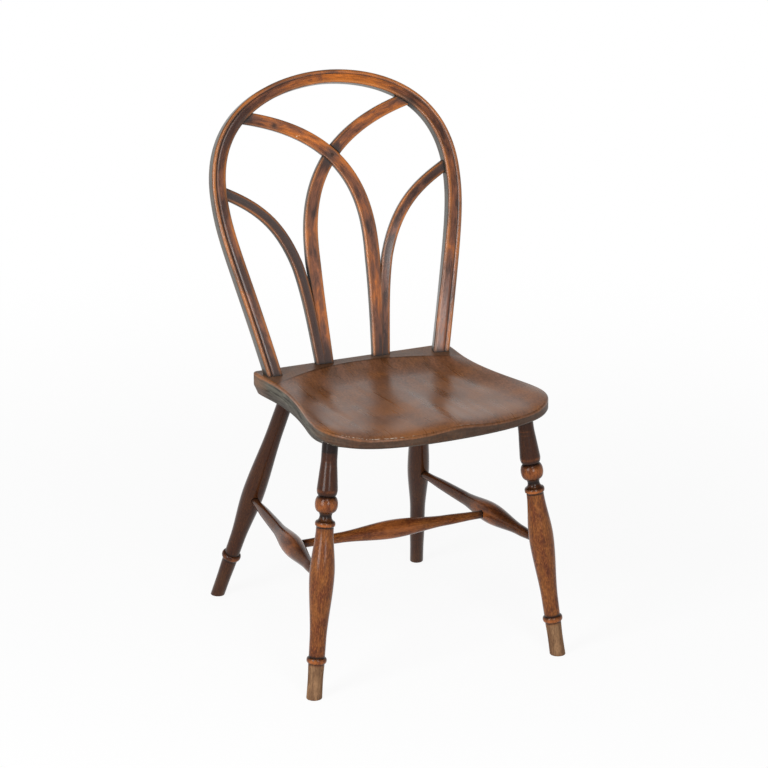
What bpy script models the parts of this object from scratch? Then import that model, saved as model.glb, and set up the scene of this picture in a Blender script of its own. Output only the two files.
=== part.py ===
"""Hoop back side chair with interlaced arches, in metres, +Z up, facing -Y.

The origin is on the floor at the centre of the chair's outline. The parts of the back are drawn flat, in (x, w)
with w measured up the back from the seat, and are then bent backwards along circular arcs.
"""

import math
from collections import namedtuple

import bmesh
import bpy
from mathutils import Matrix, Vector
from mathutils.geometry import interpolate_bezier

NAME = "hoop_back_chair"

# Fits
FIT = 0.0003  # gap between two pieces that touch
END_SPACE = 0.001  # room past the end of a tenon or peg in a blind hole
OVERRUN = 0.02  # how far a cutter runs past the face that it opens

# Seat
SEAT_HEIGHT = 0.440  # the flat ledge at the back, above the floor
SEAT_THICK = 0.038
SEAT_EDGE_SIDE = 0.025  # upright part of the edge along the sides, above the underside's bevel
SEAT_EDGE_FRONT = 0.022  # the same along the front, where the bevel is wide
SEAT_ROUND = 0.003  # drop of the worn top edge
SEAT_BACK = 0.1195
SEAT_FRONT = -0.2665
SEAT_HALF_BACK = 0.176
SEAT_HALF_WAIST = 0.171
SEAT_HALF_FRONT = 0.2025
WAIST_Y = 0.032
WIDEST_Y = -0.166
CORNER = 0.008  # rounding of the two back corners
UNDER_INSET_SIDE = 0.0081  # how far the flat underside is set in from the widest place and from the front
UNDER_INSET_FRONT = 0.0502
SEAT_SKEW = 0.042  # how far the old seat leans to the right towards its front, per metre
SEAT_TWIST = 0.045  # and how much its left front corner leads
SADDLE_DEPTH = 0.011
LEDGE_DEPTH = 0.0225  # from the back edge to the dished part, at the middle
LEDGE_CORNER_DEPTH = 0.0558  # how much deeper the ledge is at the back corners
LEDGE_RUN = 0.075
SIDE_RUN = 0.060
FRONT_LIFT_DEPTH = 0.0046  # how much shallower the saddle is at the front edge
POMMEL_HALF = 0.045

# Bow: a bent bar whose two legs pass through the seat
BOW_WIDTH = 0.0262  # at the legs
BOW_DEPTH = 0.0220
BOW_BEAD = 0.0026  # radius of the bead along each front edge
BOW_EASE = 0.0035  # easing of the back edges
BOW_SIDE_SCALE = 0.93  # how much slimmer the bow is at its widest place, and at its crown
BOW_CROWN_SCALE = 0.83
BOW_FOOT_INSET = 0.0248  # from the seat's back corner, across
BOW_INSET = 0.0419  # from the seat's back edge to the bow's front
BOW_SPLAY = 0.220  # sideways lean of the legs
BOW_HALF = 0.2088  # to the middle of the bar at its widest
BOW_WIDEST = 0.3005  # distance up the back to that place
BOW_SHOULDER = 0.1777  # and from there to the middle of the bar at the crown
BOW_LEAN = math.radians(12.57)
BOW_RADIUS = 2.288  # of the backward bend

# Arches: two long ones that cross, and a short one scarfed to the outside of each
ARCH_INSET = 0.0164  # from the seat's back edge to the arches' front
ARCH_DEPTH = 0.0115
ARCH_BEAD = 0.0022
ARCH_EASE = 0.0030
LONG_WIDTH = 0.0252
LONG_END_SCALE = 0.82  # how much slimmer a long arch is at the bow
LONG_FOOT_X = 0.0480
LONG_WAIST_X = 0.0535
LONG_WAIST = 0.1616
LONG_SHOULDER_X = 0.0632
LONG_DROP = 0.0525  # distance down from the crown to the end of a long arch
LONG_SET = 0.0052  # how far its front lies behind the bow's there
LONG_SHORT_OF = 0.0105  # how far its tenon ends short of the bow's middle, across
LONG_RADIUS = 3.61
LONG_SPLAY = 0.055
SHORT_WIDTH = 0.0188
SHORT_FOOT_X = 0.0572
SHORT_FORK_X = 0.0812
SHORT_FORK = 0.1645
SHORT_LIFT = 0.0105  # distance up from the bow's widest place to the end of a short arch
SHORT_SET = 0.0076
SHORT_SHORT_OF = 0.0023
SHORT_RADIUS = 50.0  # almost straight
SHORT_SPLAY = 0.11
SCARF_X = 0.0513  # the scarf's plane at the seat
SCARF_SPLAY = 0.088

# Joinery of the back
BOW_TENON = 0.0150  # diameter of the bow's round ends
FOOT_TENON_WIDTH = 0.0085  # an arch's tenon in the seat
FOOT_TENON_DEPTH = 0.020
END_TENON_WIDTH = 0.0120  # an arch's tenon in the bow
TENON_ROOT = 0.022  # how far a tenon's root reaches back into its own piece
TENON_THICK = 0.0065
WEDGE_LENGTH = 0.020
WEDGE_HEAD = 0.0030
WEDGE_TIP = 0.0010
WEDGE_RECESS = 0.004
WEDGE_SLACK = 0.0012  # how much narrower it is than the tenon
CROSSING_PEG = 0.0060
BOW_PEG = 0.0040
BOW_PEG_EDGE = 0.0045  # from the end of the tenon to the peg's middle
BOW_PEG_PAST = 0.002  # how far it reaches past the tenon

# Legs: where the axis meets the seat's underside, and how it leans on the way down
FRONT_LEG_INSET_SIDE = 0.0307
FRONT_LEG_INSET_FRONT = 0.0832
FRONT_LEG_SPLAY = (0.115, -0.095)
REAR_LEG_INSET_SIDE = 0.0569
REAR_LEG_INSET_BACK = 0.0204
REAR_LEG_SPLAY = (0.169, 0.388)
LEG_TENON = 0.0260
LEG_TENON_DEPTH = 0.024
LEG_NECK = 0.014  # length below the seat before the leg starts to swell
VASE_AT = 0.064  # turnings of the front legs, below the seat, with their diameters
VASE = 0.0334
BALL_AT = 0.087
BALL_HALF = 0.0135  # half the ball's height
BALL = 0.0368
COVE_AT = 0.106
COVE = 0.0194
COLLAR_AT = 0.118
COLLAR = 0.0326
FRONT_SWELL_AT = 0.203  # turnings above the floor
FRONT_SWELL = 0.0404
FRONT_ANKLE = 0.0625
FRONT_SHANK = 0.0262
REAR_NECK = 0.067
REAR_SWELL_AT = 0.205
REAR_SWELL = 0.0370
REAR_ANKLE = 0.0800
REAR_SHANK = 0.0252
ANKLE_HALF = 0.0050
ANKLE_RING = 0.0326

# Stretchers
STRETCHER_REAR = 0.196  # height on the rear legs
STRETCHER_FRONT = 0.192
STRETCHER_TENON = 0.0135
STRETCHER_STOP = 0.004  # how far an end stays short of the axis it meets
SIDE_SWELL = 0.0350
SIDE_SWELL_SHARE = 0.595  # share of the length from the rear leg, where the cross stretcher joins too
CROSS_SWELL = 0.0312

# Facets
TURNED_STEPS = 20
PEG_STEPS = 12
BAR_STEPS = 11

SIDES = {"left": -1, "right": 1}
UNDERSIDE = SEAT_HEIGHT - SEAT_THICK
BOW_FOOT_X = SEAT_HALF_BACK - BOW_FOOT_INSET
BOW_RISE = BOW_WIDEST + BOW_SHOULDER
BOW_ARC = (SEAT_BACK - BOW_INSET, BOW_LEAN, BOW_RADIUS)
BELOW = 0.012  # how far a bar is drawn on below the seat's top before it is cut level

for old in list(bpy.data.objects):
    bpy.data.objects.remove(old, do_unlink=True)

chair = bpy.data.collections.new(NAME)
cutters = bpy.data.collections.new("cutters")
bpy.context.scene.collection.children.link(chair)
bpy.context.scene.collection.children.link(cutters)
root = bpy.data.objects.new("chair_origin", None)
chair.objects.link(root)


def wood(name, colour, roughness):
    """A plain finish: linear colour and roughness."""
    material = bpy.data.materials.new(name)
    material.use_nodes = True
    shader = material.node_tree.nodes["Principled BSDF"]
    shader.inputs["Base Color"].default_value = (*colour, 1.0)
    shader.inputs["Roughness"].default_value = roughness
    shader.inputs["Metallic"].default_value = 0.0
    return material


ELM = wood("polished_elm", (0.075, 0.030, 0.014), 0.38)
YEW = wood("bent_yew", (0.110, 0.036, 0.013), 0.40)
BEECH = wood("turned_beech", (0.095, 0.030, 0.012), 0.36)
OAK = wood("oak_peg", (0.040, 0.018, 0.009), 0.50)


def add(name, shape, material=None):
    """Makes an object of a bmesh: a part of the chair if it has a material, or else a hidden cutter."""
    mesh = bpy.data.meshes.new(name)
    shape.to_mesh(mesh)
    shape.free()
    piece = bpy.data.objects.new(name, mesh)
    if material is None:
        cutters.objects.link(piece)
        piece.hide_render = True
        piece.display_type = "WIRE"
        return piece
    chair.objects.link(piece)
    mesh.materials.append(material)
    mesh.shade_smooth()
    mesh.set_sharp_from_angle(angle=math.radians(38))
    piece.parent = root
    return piece


def boolean(target, other, operation):
    change = target.modifiers.new(f"{operation.lower()} {other.name}", "BOOLEAN")
    change.operation = operation
    change.object = other
    change.solver = "EXACT"


def cut(target, cutter):
    boolean(target, cutter, "DIFFERENCE")


def join(target, extra):
    boolean(target, extra, "UNION")


def block(name, frame, low, high):
    """A box between two corners, in the frame of a matrix."""
    low = Vector(low)
    high = Vector(high)
    shape = bmesh.new()
    bmesh.ops.create_cube(shape, size=1.0)
    bmesh.ops.scale(shape, vec=high - low, verts=shape.verts)
    bmesh.ops.translate(shape, vec=(low + high) / 2, verts=shape.verts)
    piece = add(name, shape)
    piece.matrix_world = frame
    return piece


def rod(name, start, end, diameter, material=None, sides=TURNED_STEPS):
    """A round rod from one point to another."""
    shape = bmesh.new()
    bmesh.ops.create_cone(
        shape,
        cap_ends=True,
        segments=sides,
        radius1=diameter / 2,
        radius2=diameter / 2,
        depth=(end - start).length,
    )
    piece = add(name, shape, material)
    piece.location = (start + end) / 2
    piece.rotation_mode = "QUATERNION"
    piece.rotation_quaternion = (end - start).to_track_quat("Z", "Y")
    return piece


def ease(t):
    """Rises smoothly from 0 to 1 as t does, and is flat outside."""
    t = min(max(t, 0.0), 1.0)
    return t * t * (3 - 2 * t)


# The seat


def seat_outline():
    """Points round the seat's edge: from the middle of the back by the right side and the front to the left."""
    corner = (
        Vector((SEAT_HALF_BACK - CORNER, SEAT_BACK)),
        Vector((SEAT_HALF_BACK - 0.4 * CORNER, SEAT_BACK)),
        Vector((SEAT_HALF_BACK, SEAT_BACK - 0.4 * CORNER)),
        Vector((SEAT_HALF_BACK, SEAT_BACK - CORNER)),
    )
    waist = Vector((SEAT_HALF_WAIST, WAIST_Y))
    widest = Vector((SEAT_HALF_FRONT, WIDEST_Y))
    front = Vector((0, SEAT_FRONT))
    back_run = Vector((0, SEAT_BACK - WAIST_Y))
    side_run = Vector((0, WAIST_Y - WIDEST_Y))
    front_run = Vector((0, WIDEST_Y - SEAT_FRONT))
    spans = (
        (*corner, 4),
        (corner[3], corner[3] - 0.30 * back_run, waist + 0.35 * back_run, waist, 5),
        (waist, waist - 0.42 * side_run, widest + 0.23 * side_run, widest, 11),
        (widest, widest - 0.66 * front_run, front + Vector((0.68 * widest.x, 0)), front, 14),
    )
    right = [Vector((corner[0].x * i / 5, SEAT_BACK)) for i in range(5)]
    for *handles, count in spans:
        right += interpolate_bezier(*handles, count)[:-1]
    left = [Vector((-p.x, p.y)) for p in reversed(right[1:])]
    return right + [front] + left


def saddle(x, y):
    """Depth of the dished seat at a point, below the flat ledge."""
    half = SEAT_HALF_WAIST + (SEAT_HALF_FRONT - SEAT_HALF_WAIST) * ease((WAIST_Y - y) / (WAIST_Y - WIDEST_Y))
    behind = ease((SEAT_BACK - LEDGE_DEPTH - LEDGE_CORNER_DEPTH * (x / SEAT_HALF_BACK) ** 2 - y) / LEDGE_RUN)
    beside = ease((half - abs(x)) / SIDE_RUN)
    forward = ease((WAIST_Y - y) / (WAIST_Y - SEAT_FRONT))
    pommel = math.exp(-((x / POMMEL_HALF) ** 2)) * forward
    return (SADDLE_DEPTH - FRONT_LIFT_DEPTH * forward) * behind * beside * (1 - pommel)


def skewed(x, y):
    """The seat is a little out of true: its front leans right, and its left front corner leads."""
    forward = SEAT_BACK - y
    return x + SEAT_SKEW * forward, y + SEAT_TWIST * x * forward / (SEAT_BACK - SEAT_FRONT)


def seat_piece():
    """Rings of the outline, drawn in towards the middle over the top and set in under the edge."""
    outline = seat_outline()
    middle = Vector((0, (SEAT_BACK + SEAT_FRONT) / 2))
    top = ((0.2, 0), (0.38, 0), (0.55, 0), (0.7, 0), (0.82, 0), (0.91, 0), (0.97, 0), (0.99, 0.3), (1, 1))
    rings = []
    for share, drop in top:
        flat = [middle + (p - middle) * share for p in outline]
        rings.append([(*skewed(*p), -saddle(*p) - drop * SEAT_ROUND) for p in flat])
    edge = []
    under = []
    under_x = 1 - UNDER_INSET_SIDE / SEAT_HALF_FRONT
    under_y = 1 - UNDER_INSET_FRONT / (SEAT_BACK - SEAT_FRONT)
    for x, y in outline:
        side = ease((y - SEAT_FRONT) / (WIDEST_Y - SEAT_FRONT) - 0.3)
        edge.append((*skewed(x, y), -SEAT_EDGE_FRONT - (SEAT_EDGE_SIDE - SEAT_EDGE_FRONT) * side))
        inner_y = SEAT_BACK + (y - SEAT_BACK) * under_y
        under.append((*skewed(x * under_x, inner_y), -SEAT_THICK))
    shape = bmesh.new()
    loops = [[shape.verts.new(p) for p in ring] for ring in (*rings, edge, under)]
    centre = shape.verts.new((*skewed(*middle), -saddle(*middle)))
    count = len(outline)
    for i in range(count):
        j = (i + 1) % count
        shape.faces.new((centre, loops[0][i], loops[0][j]))
        for upper, lower in zip(loops, loops[1:]):
            shape.faces.new((upper[i], lower[i], lower[j], upper[j]))
    shape.faces.new(loops[-1])
    bmesh.ops.recalc_face_normals(shape, faces=shape.faces)
    piece = add("seat", shape, ELM)
    piece.location.z = SEAT_HEIGHT
    return piece


seat = seat_piece()

# The back's bars: flat drawings


Knot = namedtuple("Knot", "at before after scale")


def knot(x, w, before=(0, 0), after=(0, 0), scale=1.0):
    """A point of a flat path, with its handles given as steps from it."""
    at = Vector((x, w))
    return Knot(at, at + Vector(before), at + Vector(after), scale)


def mirrored(path):
    flip = Matrix.Diagonal((-1, 1))
    return [Knot(flip @ k.at, flip @ k.before, flip @ k.after, k.scale) for k in path]


def bow_path():
    """The hoop from its left leg over the crown to its right leg."""
    leg = 0.66 * BOW_WIDEST + BELOW
    right = [
        knot(BOW_HALF, BOW_WIDEST, (0, 0.85 * BOW_SHOULDER), (0, -0.22 * BOW_WIDEST), BOW_SIDE_SCALE),
        knot(BOW_FOOT_X - BOW_SPLAY * BELOW, -BELOW, (BOW_SPLAY * leg, leg)),
    ]
    crown = knot(0, BOW_RISE, (-0.31 * BOW_HALF, 0), (0.31 * BOW_HALF, 0), BOW_CROWN_SCALE)
    left = [Knot(k.at, k.after, k.before, k.scale) for k in reversed(mirrored(right))]
    return [*left, crown, *right]


def bow_at(w):
    """(x, w, scale) of the bow's right side, at a distance up the back."""
    crown, side, foot = bow_path()[2:]
    count = 100
    spots = []
    for a, b in ((crown, side), (side, foot)):
        for i, p in enumerate(interpolate_bezier(a.at, a.after, b.before, b.at, count)):
            spots.append((p.x, p.y, a.scale + (b.scale - a.scale) * i / (count - 1)))
    return min(spots, key=lambda spot: abs(spot[1] - w))


def bend(x, w, d, arc):
    """Carries a flat point to its place: x across, w up the back, d out of the front face."""
    foot_y, lean, radius = arc
    turn = lean + w / radius
    y = foot_y + radius * math.cos(lean) - (radius + d) * math.cos(turn)
    z = SEAT_HEIGHT - radius * math.sin(lean) + (radius + d) * math.sin(turn)
    return Vector((x, y, z))


def unbend(point, arc):
    """The (x, w, d) of a point in space."""
    foot_y, lean, radius = arc
    y = foot_y + radius * math.cos(lean) - point.y
    z = point.z - SEAT_HEIGHT + radius * math.sin(lean)
    return point.x, (math.atan2(z, y) - lean) * radius, math.hypot(y, z) - radius


def arch_arc(meets, behind, radius):
    """The arc of an arch from its foot to a place behind the bow's front, and its length."""
    foot_y = SEAT_BACK - ARCH_INSET
    end = bend(0, meets, -behind, BOW_ARC)
    chord = math.hypot(end.y - foot_y, end.z - SEAT_HEIGHT)
    half_turn = math.asin(chord / 2 / radius)
    lean = math.atan2(end.y - foot_y, end.z - SEAT_HEIGHT) - half_turn
    return (foot_y, lean, radius), 2 * half_turn * radius


LONG_MEETS = BOW_RISE - LONG_DROP
SHORT_MEETS = BOW_WIDEST + SHORT_LIFT
LONG_ARC, LONG_LENGTH = arch_arc(LONG_MEETS, LONG_SET, LONG_RADIUS)
SHORT_ARC, SHORT_LENGTH = arch_arc(SHORT_MEETS, SHORT_SET, SHORT_RADIUS)


def long_path():
    """The arch that starts left of the middle and ends in the bow's right shoulder."""
    end_x = bow_at(LONG_MEETS)[0] - LONG_SHORT_OF
    rise = LONG_LENGTH - LONG_WAIST
    leave = 0.34 * LONG_WAIST
    return [
        knot(-LONG_FOOT_X + LONG_SPLAY * BELOW, -BELOW, after=(-LONG_SPLAY * leave, leave)),
        knot(-LONG_WAIST_X, LONG_WAIST, (0, -0.33 * LONG_WAIST), (0, 0.245 * rise)),
        knot(end_x, LONG_LENGTH, (-LONG_SHOULDER_X - end_x, -0.20 * rise), scale=LONG_END_SCALE),
    ]


def short_path():
    """The arch that leaves the right pair and ends in the bow's right side."""
    end_x = bow_at(SHORT_MEETS)[0] - SHORT_SHORT_OF
    run = end_x - SHORT_FORK_X
    rise = SHORT_LENGTH - SHORT_FORK
    leave = 0.41 * SHORT_FORK
    arrive = 0.31 * SHORT_FORK
    return [
        knot(SHORT_FOOT_X - SHORT_SPLAY * BELOW, -BELOW, after=(SHORT_SPLAY * leave, leave)),
        knot(SHORT_FORK_X, SHORT_FORK, (-0.265 * arrive, -arrive), (0.195 * run, 0.56 * rise)),
        knot(end_x, SHORT_LENGTH, (-0.49 * run, -0.218 * rise)),
    ]


# The back's bars: sections, and the sections carried along the paths


def both_sides(left):
    """A section from its left half, of (across, out of the front)."""
    return left + [(-across, out) for across, out in reversed(left)]


def moulding(width, depth, bead, back):
    """Section of a bar: a bead and a fine groove along both front edges, and eased back edges."""
    half = width / 2
    left = [(-half + back, -depth), (-half, back - depth)]
    for degrees in (180, 115, 50):
        turn = math.radians(degrees)
        left.append((-half + bead + bead * math.cos(turn), -bead + bead * math.sin(turn)))
    left.append((-half + 2.05 * bead, -0.5 * bead))
    left.append((-half + 2.5 * bead, -0.25 * bead))
    return both_sides(left)


def room(width, front, back, eased=FIT):
    """A plain section between two depths, with eased back edges."""
    half = width / 2
    return both_sides([(-half + eased, back), (-half, back + eased), (-half, front)])


def bar(name, path, section, arc, material=None):
    """A section carried along a flat path, then bent back along an arc."""
    profile = bpy.data.curves.new(name + "_section", "CURVE")
    profile.dimensions = "2D"
    outline = profile.splines.new("POLY")
    outline.points.add(len(section) - 1)
    for point, (across, out) in zip(outline.points, section):
        point.co = (across, out, 0, 1)
    outline.use_cyclic_u = True
    profile_object = bpy.data.objects.new(profile.name, profile)
    cutters.objects.link(profile_object)

    drawn = bpy.data.curves.new(name + "_path", "CURVE")
    drawn.dimensions = "2D"
    drawn.fill_mode = "NONE"
    drawn.resolution_u = BAR_STEPS
    drawn.bevel_mode = "OBJECT"
    drawn.bevel_object = profile_object
    drawn.use_fill_caps = True
    spline = drawn.splines.new("BEZIER")
    spline.bezier_points.add(len(path) - 1)
    for point, spot in zip(spline.bezier_points, path):
        point.handle_left_type = "FREE"
        point.handle_right_type = "FREE"
        point.co = (*spot.at, 0)
        point.handle_left = (*spot.before, 0)
        point.handle_right = (*spot.after, 0)
        point.radius = spot.scale
    guide = bpy.data.objects.new(drawn.name, drawn)
    cutters.objects.link(guide)
    bpy.context.view_layer.update()
    mesh = bpy.data.meshes.new_from_object(guide.evaluated_get(bpy.context.evaluated_depsgraph_get()))
    for used in (guide, profile_object):
        bpy.data.objects.remove(used)

    shape = bmesh.new()
    shape.from_mesh(mesh)
    bpy.data.meshes.remove(mesh)
    bmesh.ops.remove_doubles(shape, verts=shape.verts, dist=0.00001)
    ledge = Vector((0, 0, SEAT_HEIGHT))
    for v in shape.verts:
        v.co = bend(*v.co, arc) - ledge
    bmesh.ops.recalc_face_normals(shape, faces=shape.faces)
    piece = add(name, shape, material)
    piece.location = ledge
    return piece


paths = {
    "bow": bow_path(),
    "long_arch_left": long_path(),
    "long_arch_right": mirrored(long_path()),
    "short_arch_left": mirrored(short_path()),
    "short_arch_right": short_path(),
}
bow = bar("bow", paths["bow"], moulding(BOW_WIDTH, BOW_DEPTH, BOW_BEAD, BOW_EASE), BOW_ARC, YEW)
bow_section = room(BOW_WIDTH + 2 * FIT, OVERRUN, -BOW_DEPTH - FIT, BOW_EASE)
bow_room = bar("bow_room", paths["bow"], bow_section, BOW_ARC)
arches = {}
for side in SIDES:
    for kind, width, arc in (("long", LONG_WIDTH, LONG_ARC), ("short", SHORT_WIDTH, SHORT_ARC)):
        name = f"{kind}_arch_{side}"
        arches[name] = bar(name, paths[name], moulding(width, ARCH_DEPTH, ARCH_BEAD, ARCH_EASE), arc, YEW)

# Joints of the back


def on_back(x, w, heading, arc):
    """A frame on the front face: X along a heading drawn on the flat, Z out of the face."""
    origin = bend(x, w, 0, arc)
    out = (bend(x, w, 0.01, arc) - origin).normalized()
    step = Vector(heading).normalized() * 0.001
    along = (bend(x + step.x, w + step.y, 0, arc) - origin).normalized()
    across = out.cross(along)
    return Matrix.Translation(origin) @ Matrix((along, across, out)).transposed().to_4x4()


# The bars are cut level on the seat's ledge
ledge_room = block(
    "ledge_room",
    Matrix.Translation((0, 0, SEAT_HEIGHT + FIT)),
    (-SEAT_HALF_FRONT, SEAT_FRONT, -0.1),
    (SEAT_HALF_FRONT, SEAT_BACK + OVERRUN, 0),
)
for piece in (bow, *arches.values()):
    cut(piece, ledge_room)

# Each pair of arches is scarfed along one sloping plane
for side, sign in SIDES.items():
    plane = on_back(sign * SCARF_X, 0, (sign * SCARF_SPLAY, 1), LONG_ARC)
    for kind, away in (("long", -sign), ("short", sign)):
        faces = sorted((-away * FIT / 2, away * 0.05))
        scarf = block(f"{kind}_scarf_{side}", plane, (-0.05, faces[0], -0.05), (LONG_WAIST, faces[1], 0.05))
        cut(arches[f"{kind}_arch_{side}"], scarf)

# The long arches are halved into each other where they cross: the right one lies in front
lap = -ARCH_DEPTH / 2
lap_width = LONG_WIDTH + 2 * FIT
right_room = bar("right_arch_room", paths["long_arch_right"], room(lap_width, OVERRUN, lap - FIT / 2), LONG_ARC)
left_room = bar(
    "left_arch_room", paths["long_arch_left"], room(lap_width, lap + FIT / 2, -ARCH_DEPTH - OVERRUN), LONG_ARC
)
cut(arches["long_arch_left"], right_room)
cut(arches["long_arch_right"], left_room)


def crossing():
    """Distance up the back to the place where the long arches cross."""
    waist, end = paths["long_arch_left"][1:]
    spots = interpolate_bezier(waist.at, waist.after, end.before, end.at, 400)
    return min(spots, key=lambda p: abs(p.x)).y


# A peg holds the crossing
peg_frame = on_back(0, crossing(), (1, 0), LONG_ARC)
peg_back = peg_frame @ Vector((0, 0, -ARCH_DEPTH))
peg_front = peg_frame @ Vector((0, 0, -ARCH_BEAD / 4))
past = (peg_front - peg_back).normalized() * OVERRUN
peg_hole = rod("crossing_hole", peg_back - past, peg_front + past, CROSSING_PEG + 2 * FIT, sides=PEG_STEPS)
cut(arches["long_arch_left"], peg_hole)
cut(arches["long_arch_right"], peg_hole)
rod("crossing_peg", peg_back, peg_front, CROSSING_PEG, OAK, PEG_STEPS)


def tenoned(piece, host, name, frame, low, high, deep):
    """A rectangular tenon joined to a piece, and its mortice in the host, which is longer by a step."""
    fit = Vector((FIT, FIT, FIT))
    deep = Vector(deep)
    join(piece, block(f"{name}_tenon", frame, low, high))
    low_deep = Vector([min(v, 0) for v in deep])
    high_deep = Vector([max(v, 0) for v in deep])
    cut(host, block(f"{name}_mortice", frame, low - fit + low_deep, high + fit + high_deep))


def foot_joint(name, x, heading, arc):
    """An arch's foot, tenoned into the seat."""
    frame = on_back(x, 0, heading, arc)
    low = Vector((-FOOT_TENON_DEPTH, -FOOT_TENON_WIDTH / 2, lap - TENON_THICK / 2))
    high = Vector((TENON_ROOT / 2, FOOT_TENON_WIDTH / 2, lap + TENON_THICK / 2))
    tenoned(arches[name], seat, f"{name}_foot", frame, low, high, (-END_SPACE, 0, 0))


def bow_joint(name, arc):
    """An arch's end, butted and tenoned into the bow, with a peg from the bow's back through the tenon."""
    piece = arches[name]
    end = paths[name][-1]
    frame = on_back(*end.at, end.at - end.before, arc)
    low = Vector((-TENON_ROOT, -END_TENON_WIDTH / 2, lap - TENON_THICK / 2))
    high = Vector((0, END_TENON_WIDTH / 2, lap + TENON_THICK / 2))
    cut(piece, bow_room)
    tenoned(piece, bow, f"{name}_end", frame, low, high, (END_SPACE, 0, 0))

    x, w, depth = unbend(frame @ Vector((-BOW_PEG_EDGE, 0, lap)), BOW_ARC)
    back = bend(x, w, -BOW_DEPTH * bow_at(w)[2], BOW_ARC)
    tip = bend(x, w, depth + TENON_THICK / 2 + BOW_PEG_PAST, BOW_ARC)
    way = (tip - back).normalized()
    hole = rod(f"{name}_hole", back - way * OVERRUN, tip + way * END_SPACE, BOW_PEG + 2 * FIT, sides=PEG_STEPS)
    cut(bow, hole)
    cut(piece, hole)
    rod(f"{name}_peg", back, tip, BOW_PEG, OAK, PEG_STEPS)


def wedge(name, frame, start, end, width, spare, material=None):
    """A wedge along X that thins from head to tip, made larger by a spare on both faces."""
    slope = (WEDGE_TIP - WEDGE_HEAD) / WEDGE_LENGTH
    shape = bmesh.new()
    bmesh.ops.create_cube(shape, size=2.0)
    for v in shape.verts:
        run = start if v.co.x < 0 else end
        v.co = (run, v.co.y * width / 2, v.co.z * ((WEDGE_HEAD + slope * run) / 2 + spare))
    piece = add(name, shape, material)
    piece.matrix_world = frame
    return piece


def bow_leg_joint(side, sign):
    """The bow's leg ends in a round tenon through the seat, spread by a wedge from below."""
    frame = on_back(sign * BOW_FOOT_X, 0, (sign * BOW_SPLAY, 1), BOW_ARC)
    frame = frame @ Matrix.Translation((0, 0, -BOW_DEPTH / 2))
    through = (frame.translation.z - UNDERSIDE) / frame.col[0].z
    low = frame @ Vector((-through - OVERRUN, 0, 0))
    high = frame @ Vector((TENON_ROOT, 0, 0))
    tenon = rod(f"bow_tenon_{side}", low, high, BOW_TENON)
    x, y, _ = low
    level = Matrix.Translation((x, y, UNDERSIDE))
    cut(tenon, block(f"underside_{side}", level, (-0.05, -0.05, -0.1), (0.05, 0.05, 0)))
    join(bow, tenon)
    cut(seat, rod(f"bow_hole_{side}", low, high, BOW_TENON + 2 * FIT))
    head = frame @ Matrix.Translation((WEDGE_RECESS - through, 0, 0))
    kerf = wedge(f"bow_kerf_{side}", head, -OVERRUN, WEDGE_LENGTH + END_SPACE, 2 * BOW_TENON, FIT)
    cut(bow, kerf)
    wedge(f"bow_wedge_{side}", head, 0, WEDGE_LENGTH, BOW_TENON - WEDGE_SLACK, 0, OAK)


for side, sign in SIDES.items():
    long_middle = (LONG_FOOT_X - LONG_WIDTH / 2 + SCARF_X) / 2
    short_middle = (SHORT_FOOT_X + SHORT_WIDTH / 2 + SCARF_X) / 2
    foot_joint(f"long_arch_{side}", sign * long_middle, (sign * SCARF_SPLAY, 1), LONG_ARC)
    foot_joint(f"short_arch_{side}", sign * short_middle, (sign * SCARF_SPLAY, 1), SHORT_ARC)
    bow_joint(f"long_arch_{side}", LONG_ARC)
    bow_joint(f"short_arch_{side}", SHORT_ARC)
    bow_leg_joint(side, sign)

# Legs and stretchers: marks of (place along the axis, diameter)


def swell(start, end, count):
    """Marks easing from one to another, without the last."""
    marks = []
    for i in range(count):
        t = i / count
        marks.append((start[0] + (end[0] - start[0]) * t, start[1] + (end[1] - start[1]) * ease(t)))
    return marks


def ring(middle, half, base, diameter, count):
    """Marks over a turned ring of half-round section, from top to bottom."""
    marks = []
    for i in range(count + 1):
        turn = math.pi * i / count
        marks.append((middle + half * math.cos(turn), base + (diameter - base) * math.sin(turn)))
    return marks


def front_leg_marks():
    """A front leg from its top to below the floor: the upper turnings are measured down from the seat."""
    top = UNDERSIDE
    peak = (FRONT_SWELL_AT, FRONT_SWELL)
    shank = (1.44 * FRONT_ANKLE, 1.02 * FRONT_SHANK)
    return [
        (top + LEG_TENON_DEPTH, LEG_TENON),
        (top - LEG_NECK, LEG_TENON),
        (top - 0.58 * VASE_AT, 0.874 * VASE),
        (top - VASE_AT, VASE),
        (top - 1.08 * VASE_AT, 0.964 * VASE),
        (top - 1.15 * VASE_AT, 0.868 * VASE),
        *ring(top - BALL_AT, BALL_HALF, 0.652 * BALL, BALL, 7)[1:-1],
        (top - 0.962 * COVE_AT, 1.11 * COVE),
        (top - COVE_AT, COVE),
        (top - 0.945 * COLLAR_AT, 0.681 * COLLAR),
        (top - 0.979 * COLLAR_AT, 0.920 * COLLAR),
        (top - COLLAR_AT, COLLAR),
        (top - 1.025 * COLLAR_AT, 0.988 * COLLAR),
        *swell((top - 1.047 * COLLAR_AT, 0.865 * COLLAR), peak, 4),
        *swell(peak, shank, 5),
        shank,
        (1.10 * FRONT_ANKLE, FRONT_SHANK),
        *ring(FRONT_ANKLE, ANKLE_HALF, FRONT_SHANK, ANKLE_RING, 4),
        (0.90 * FRONT_ANKLE, FRONT_SHANK),
        (0.48 * FRONT_ANKLE, 0.94 * FRONT_SHANK),
        (-OVERRUN, FRONT_SHANK),
    ]


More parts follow.
